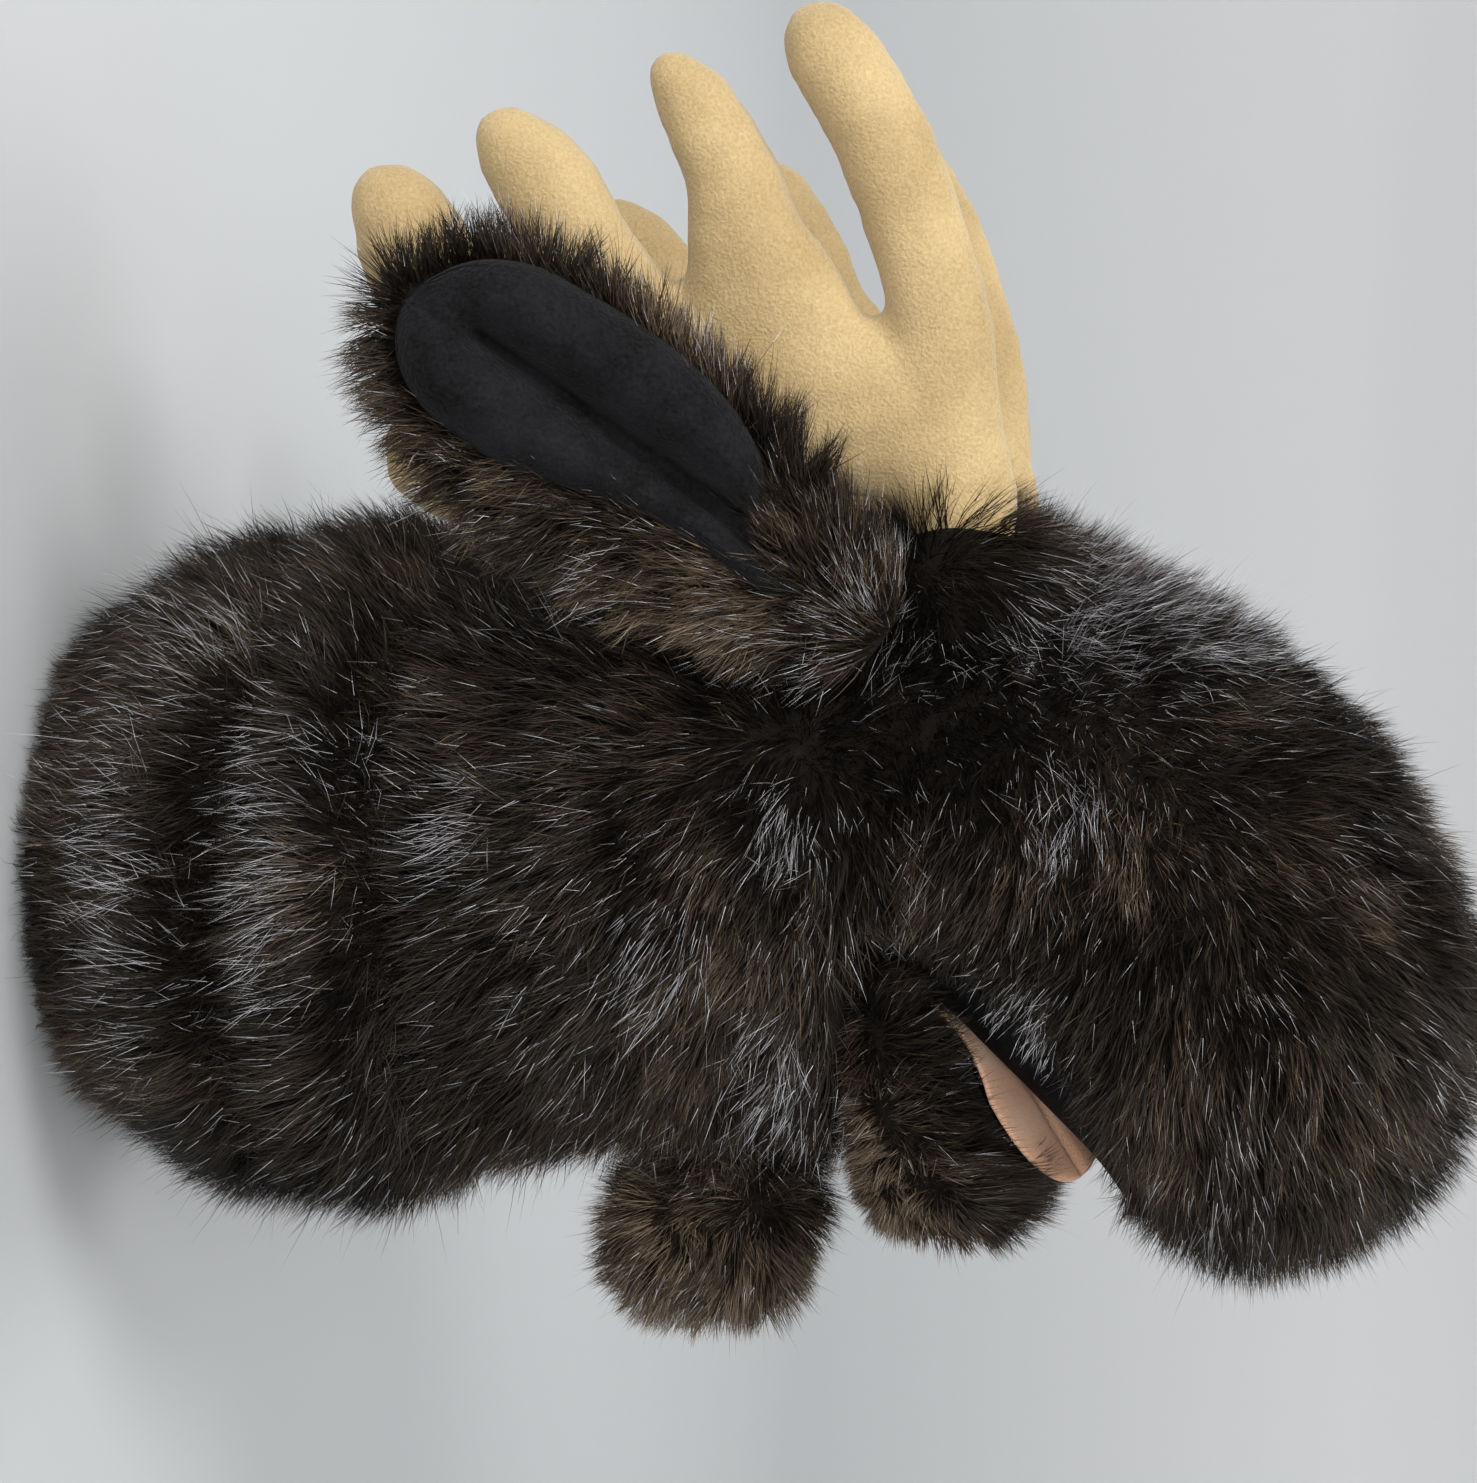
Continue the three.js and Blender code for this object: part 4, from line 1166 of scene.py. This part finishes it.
def tongue_sheet():
    """A rounded strip of felt with a crease sewn along its middle."""
    path = smooth_rows(TONGUE_PATH, 12)
    path = np.stack([path[:, 0], np.zeros(len(path)), path[:, 1]], 1)
    run = np.concatenate([[0], np.cumsum(np.linalg.norm(np.diff(path, axis=0), axis=1))])
    length = run[-1]
    round_from = length - TONGUE_HALF_WIDTH
    v = np.linspace(-1, 1, 33)
    rings = []
    for place in length * eased(60):
        here, just_ahead, just_behind = (
            np.array([np.interp(place + step, run, path[:, k]) for k in range(3)]) for step in (0, 2, -2)
        )
        upright = np.cross(unit(just_ahead - just_behind), Y_AXIS)
        roll = TONGUE_ROLL * min(place / (0.5 * length), 1)
        above = upright * math.cos(roll) - Y_AXIS * math.sin(roll)
        across = Y_AXIS * math.cos(roll) + upright * math.sin(roll)
        half = TONGUE_HALF_WIDTH * (0.8 + 0.2 * min(place / round_from, 1))
        past = max(place - round_from, 0) / TONGUE_HALF_WIDTH
        half = max(half * math.sqrt(max(1 - past**2, 0)), 0.8)
        rise = TONGUE_CUP * (v * half / TONGUE_HALF_WIDTH) ** 2
        rise -= TONGUE_CREASE * bell(v * half, 0, TONGUE_CREASE_HALF_WIDTH)
        deep = TONGUE_THICKNESS / 2 * np.sqrt(np.clip(1 - np.abs(v) ** 6, 0.05, 1))
        line = here + above * TONGUE_THICKNESS / 2 + np.outer(v * half, across) + np.outer(rise, above)
        rings.append(slab_ring(line, above, deep))
    return loft(rings)


upper = add_object("upper_palate_cloth", *upper_palate(), mouth_cloth)
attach(upper, "head")
lower = add_object("lower_palate_cloth", *lower_palate(), mouth_cloth)
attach(lower, "lower_jaw")
for piece, cad_node in ((upper, "upper_palate"), (lower, "lower_palate")):
    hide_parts(cad_node)
tongue = add_object("tongue_felt_strip", *tongue_sheet(), tongue_felt)
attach(tongue, "lower_jaw")
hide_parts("tongue")

# ---- eyes and nostrils, deep in the pile ----
EYE_PRESSED = 3  # the pile closes over the eye
NOSTRIL_HALF = (8, 5.6, 4)
NOSTRIL_PRESSED = 3


def ball(place, half, turn):
    """A closed ellipsoid with half sizes along the rows of turn."""
    rings = []
    for angle in np.linspace(-math.pi / 2, math.pi / 2, 25)[1:-1]:
        centre = place + turn[2] * half[2] * math.sin(angle)
        share = math.cos(angle)
        rings.append(ring(centre, turn[0], turn[1], half[0] * share, half[1] * share, count=40))
    return loft(rings)


for side_name, side in SIDES.items():
    eye_y = side * (head_half_width(EYE_F, EYE_U) - EYE_SINK - EYE_PRESSED)
    eye_ball = ball(head_point(EYE_F, EYE_U, eye_y), (EYE_RADIUS,) * 3, np.eye(3))
    nostril_place = head_point(NOSTRIL_F - NOSTRIL_PRESSED, NOSTRIL_U, side * NOSTRIL_Y)
    nostril_ball = ball(nostril_place, NOSTRIL_HALF, np.stack([UP, Y_AXIS, FORWARD]))
    eye = add_object(f"eye_{side_name}_dome", *eye_ball, eye_plastic)
    patch = add_object(f"nostril_{side_name}_patch", *nostril_ball, nostril_felt)
    for piece, slot_name, cad_node in (
        (eye, "eye_plastic", f"eye_{side_name}"),
        (patch, "nostril_felt", f"nostril_{side_name}"),
    ):
        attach(piece, "head")
        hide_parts(cad_node)

# ---- lining inside the sleeve ----
LINING_DEPTH = SKIN_DEPTH + 3
LINING_THICKNESS = 1.5
LINING_LOW = 1.0  # height of its lower edge


def sleeve_lining():
    """A thin open tube inside the sleeve, folded with it."""
    rows = [(max(z, LINING_LOW), x, a, b) for z, x, a, b in smooth_rows(TUBE) if z < WRIST_Z]
    outside = [tube_ring(*row, LINING_DEPTH) for row in rows]
    inside = [tube_ring(*row, LINING_DEPTH + LINING_THICKNESS) for row in rows]
    rings = outside + inside[::-1]
    return slouch(np.concatenate(rings)), ring_faces(len(rings), len(rings[0]), joined=True)


lining = add_object("sleeve_lining_tube", *sleeve_lining(), lining_cloth)
ride_sleeve(lining)
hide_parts("sleeve_lining")

# ---- the CAD panels under the backings and their pile, hidden ----
HEAD_PANELS = [
    "nape_panel_right", "nape_panel_left", "crown_panel", "cheek_right", "cheek_left",
    "muzzle_right", "muzzle_left", "muzzle_bridge", "crown_filling", "muzzle_filling",
]
for piece, slot_name, cad_nodes in (
    (sleeve_backing, "dark_fur", ["sleeve_hem", "sleeve_panel_right", "sleeve_panel_left"]),
    (neck_backing, "dark_fur", ["neck_bend"]),
    (throat_backing, "dark_fur", ["throat_panel"]),
    (head_backing, "dark_fur", HEAD_PANELS),
    (jaw_backing, "brown_fur", ["jaw_cover", "jaw_filling"]),
    (dewlap_backing, "brown_fur", ["dewlap_skin_right", "dewlap_skin_left", "dewlap_filling"]),
):
    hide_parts(*cad_nodes)

# The CAD pieces that stay as they are get their materials.
for cad_node, material in (
    ("eye_washer_right", washer_plastic),
    ("eye_washer_left", washer_plastic),
    ("finger_pocket", lining_cloth),
    ("thumb_pocket", lining_cloth),
):
    slots = frame["nodes"][cad_node].data.materials
    slots.clear()
    slots.append(material)

# ---- stage and lights ----
# Painted shade: the floor is painted darker and the wall lighter, to even out the lamps' light, which falls
# more on the floor.
FLOOR_SHADE = (0.475, 0.485, 0.49)
WALL_SHADE = (0.66, 0.665, 0.67)
WALL_FULL = 0.4  # metres up, where the wall has its full shade
FLOOR_RADIUS, CURVE_RADIUS, WALL_HEIGHT = 1300, 700, 2600
CURVE_STEPS = 12
AIM = Vector((0, 0, 0.2))
# Each lamp's place, size and power.
LAMPS = {
    "key": ((-0.75, -0.95, 1.2), 0.6, 17),
    "front": ((-0.1, -1.45, 0.6), 0.8, 15),
    "back": ((-0.2, 1.1, 1.3), 0.9, 8),
}


def stage_bowl():
    """A pale round floor that curves up into a wall all round, with painted shade: the floor darker than
    the wall.
    """
    profile = [(FLOOR_RADIUS, 0)]
    for angle in np.arange(1, CURVE_STEPS + 1) / CURVE_STEPS * math.pi / 2:
        reach, rise = CURVE_RADIUS * math.sin(angle), CURVE_RADIUS * (1 - math.cos(angle))
        profile.append((FLOOR_RADIUS + reach, rise))
    profile.append((FLOOR_RADIUS + CURVE_RADIUS, WALL_HEIGHT))
    count = 96
    rings = [ring(Z_AXIS * z, X_AXIS, Y_AXIS, r, r, count=count) for r, z in profile]
    vertices = np.concatenate([*rings, [np.zeros(3)]])
    faces = [(len(vertices) - 1, i, (i + 1) % count) for i in range(count)]
    faces += [face[::-1] for face in ring_faces(len(rings), count)]
    material, shader = new_material("pale_board", 0.6, specular=0.3)
    split = node(material, "ShaderNodeSeparateXYZ")
    link(material, object_place(material), split.inputs["Vector"])
    shade = ramp(material, split.outputs["Z"], (0.0, FLOOR_SHADE), (WALL_FULL, WALL_SHADE))
    link(material, shade, shader.inputs["Base Color"])
    floor = add_object("floor", vertices, faces, material)


stage_bowl()

for name, (place, size, power) in LAMPS.items():
    data = bpy.data.lights.new(name, "AREA")
    data.shape = "DISK"
    data.size = size
    data.energy = power
    lamp = link_new(name, data)
    lamp.location = place
    lamp.rotation_euler = (AIM - Vector(place)).to_track_quat("-Z", "Y").to_euler()

sky = bpy.data.worlds.new("studio")
sky.use_nodes = True
sky.node_tree.nodes["Background"].inputs["Color"].default_value = (0.97, 0.98, 1.0, 1)
sky.node_tree.nodes["Background"].inputs["Strength"].default_value = 0.84
bpy.context.scene.world = sky
bpy.context.scene.view_settings.view_transform = "Standard"
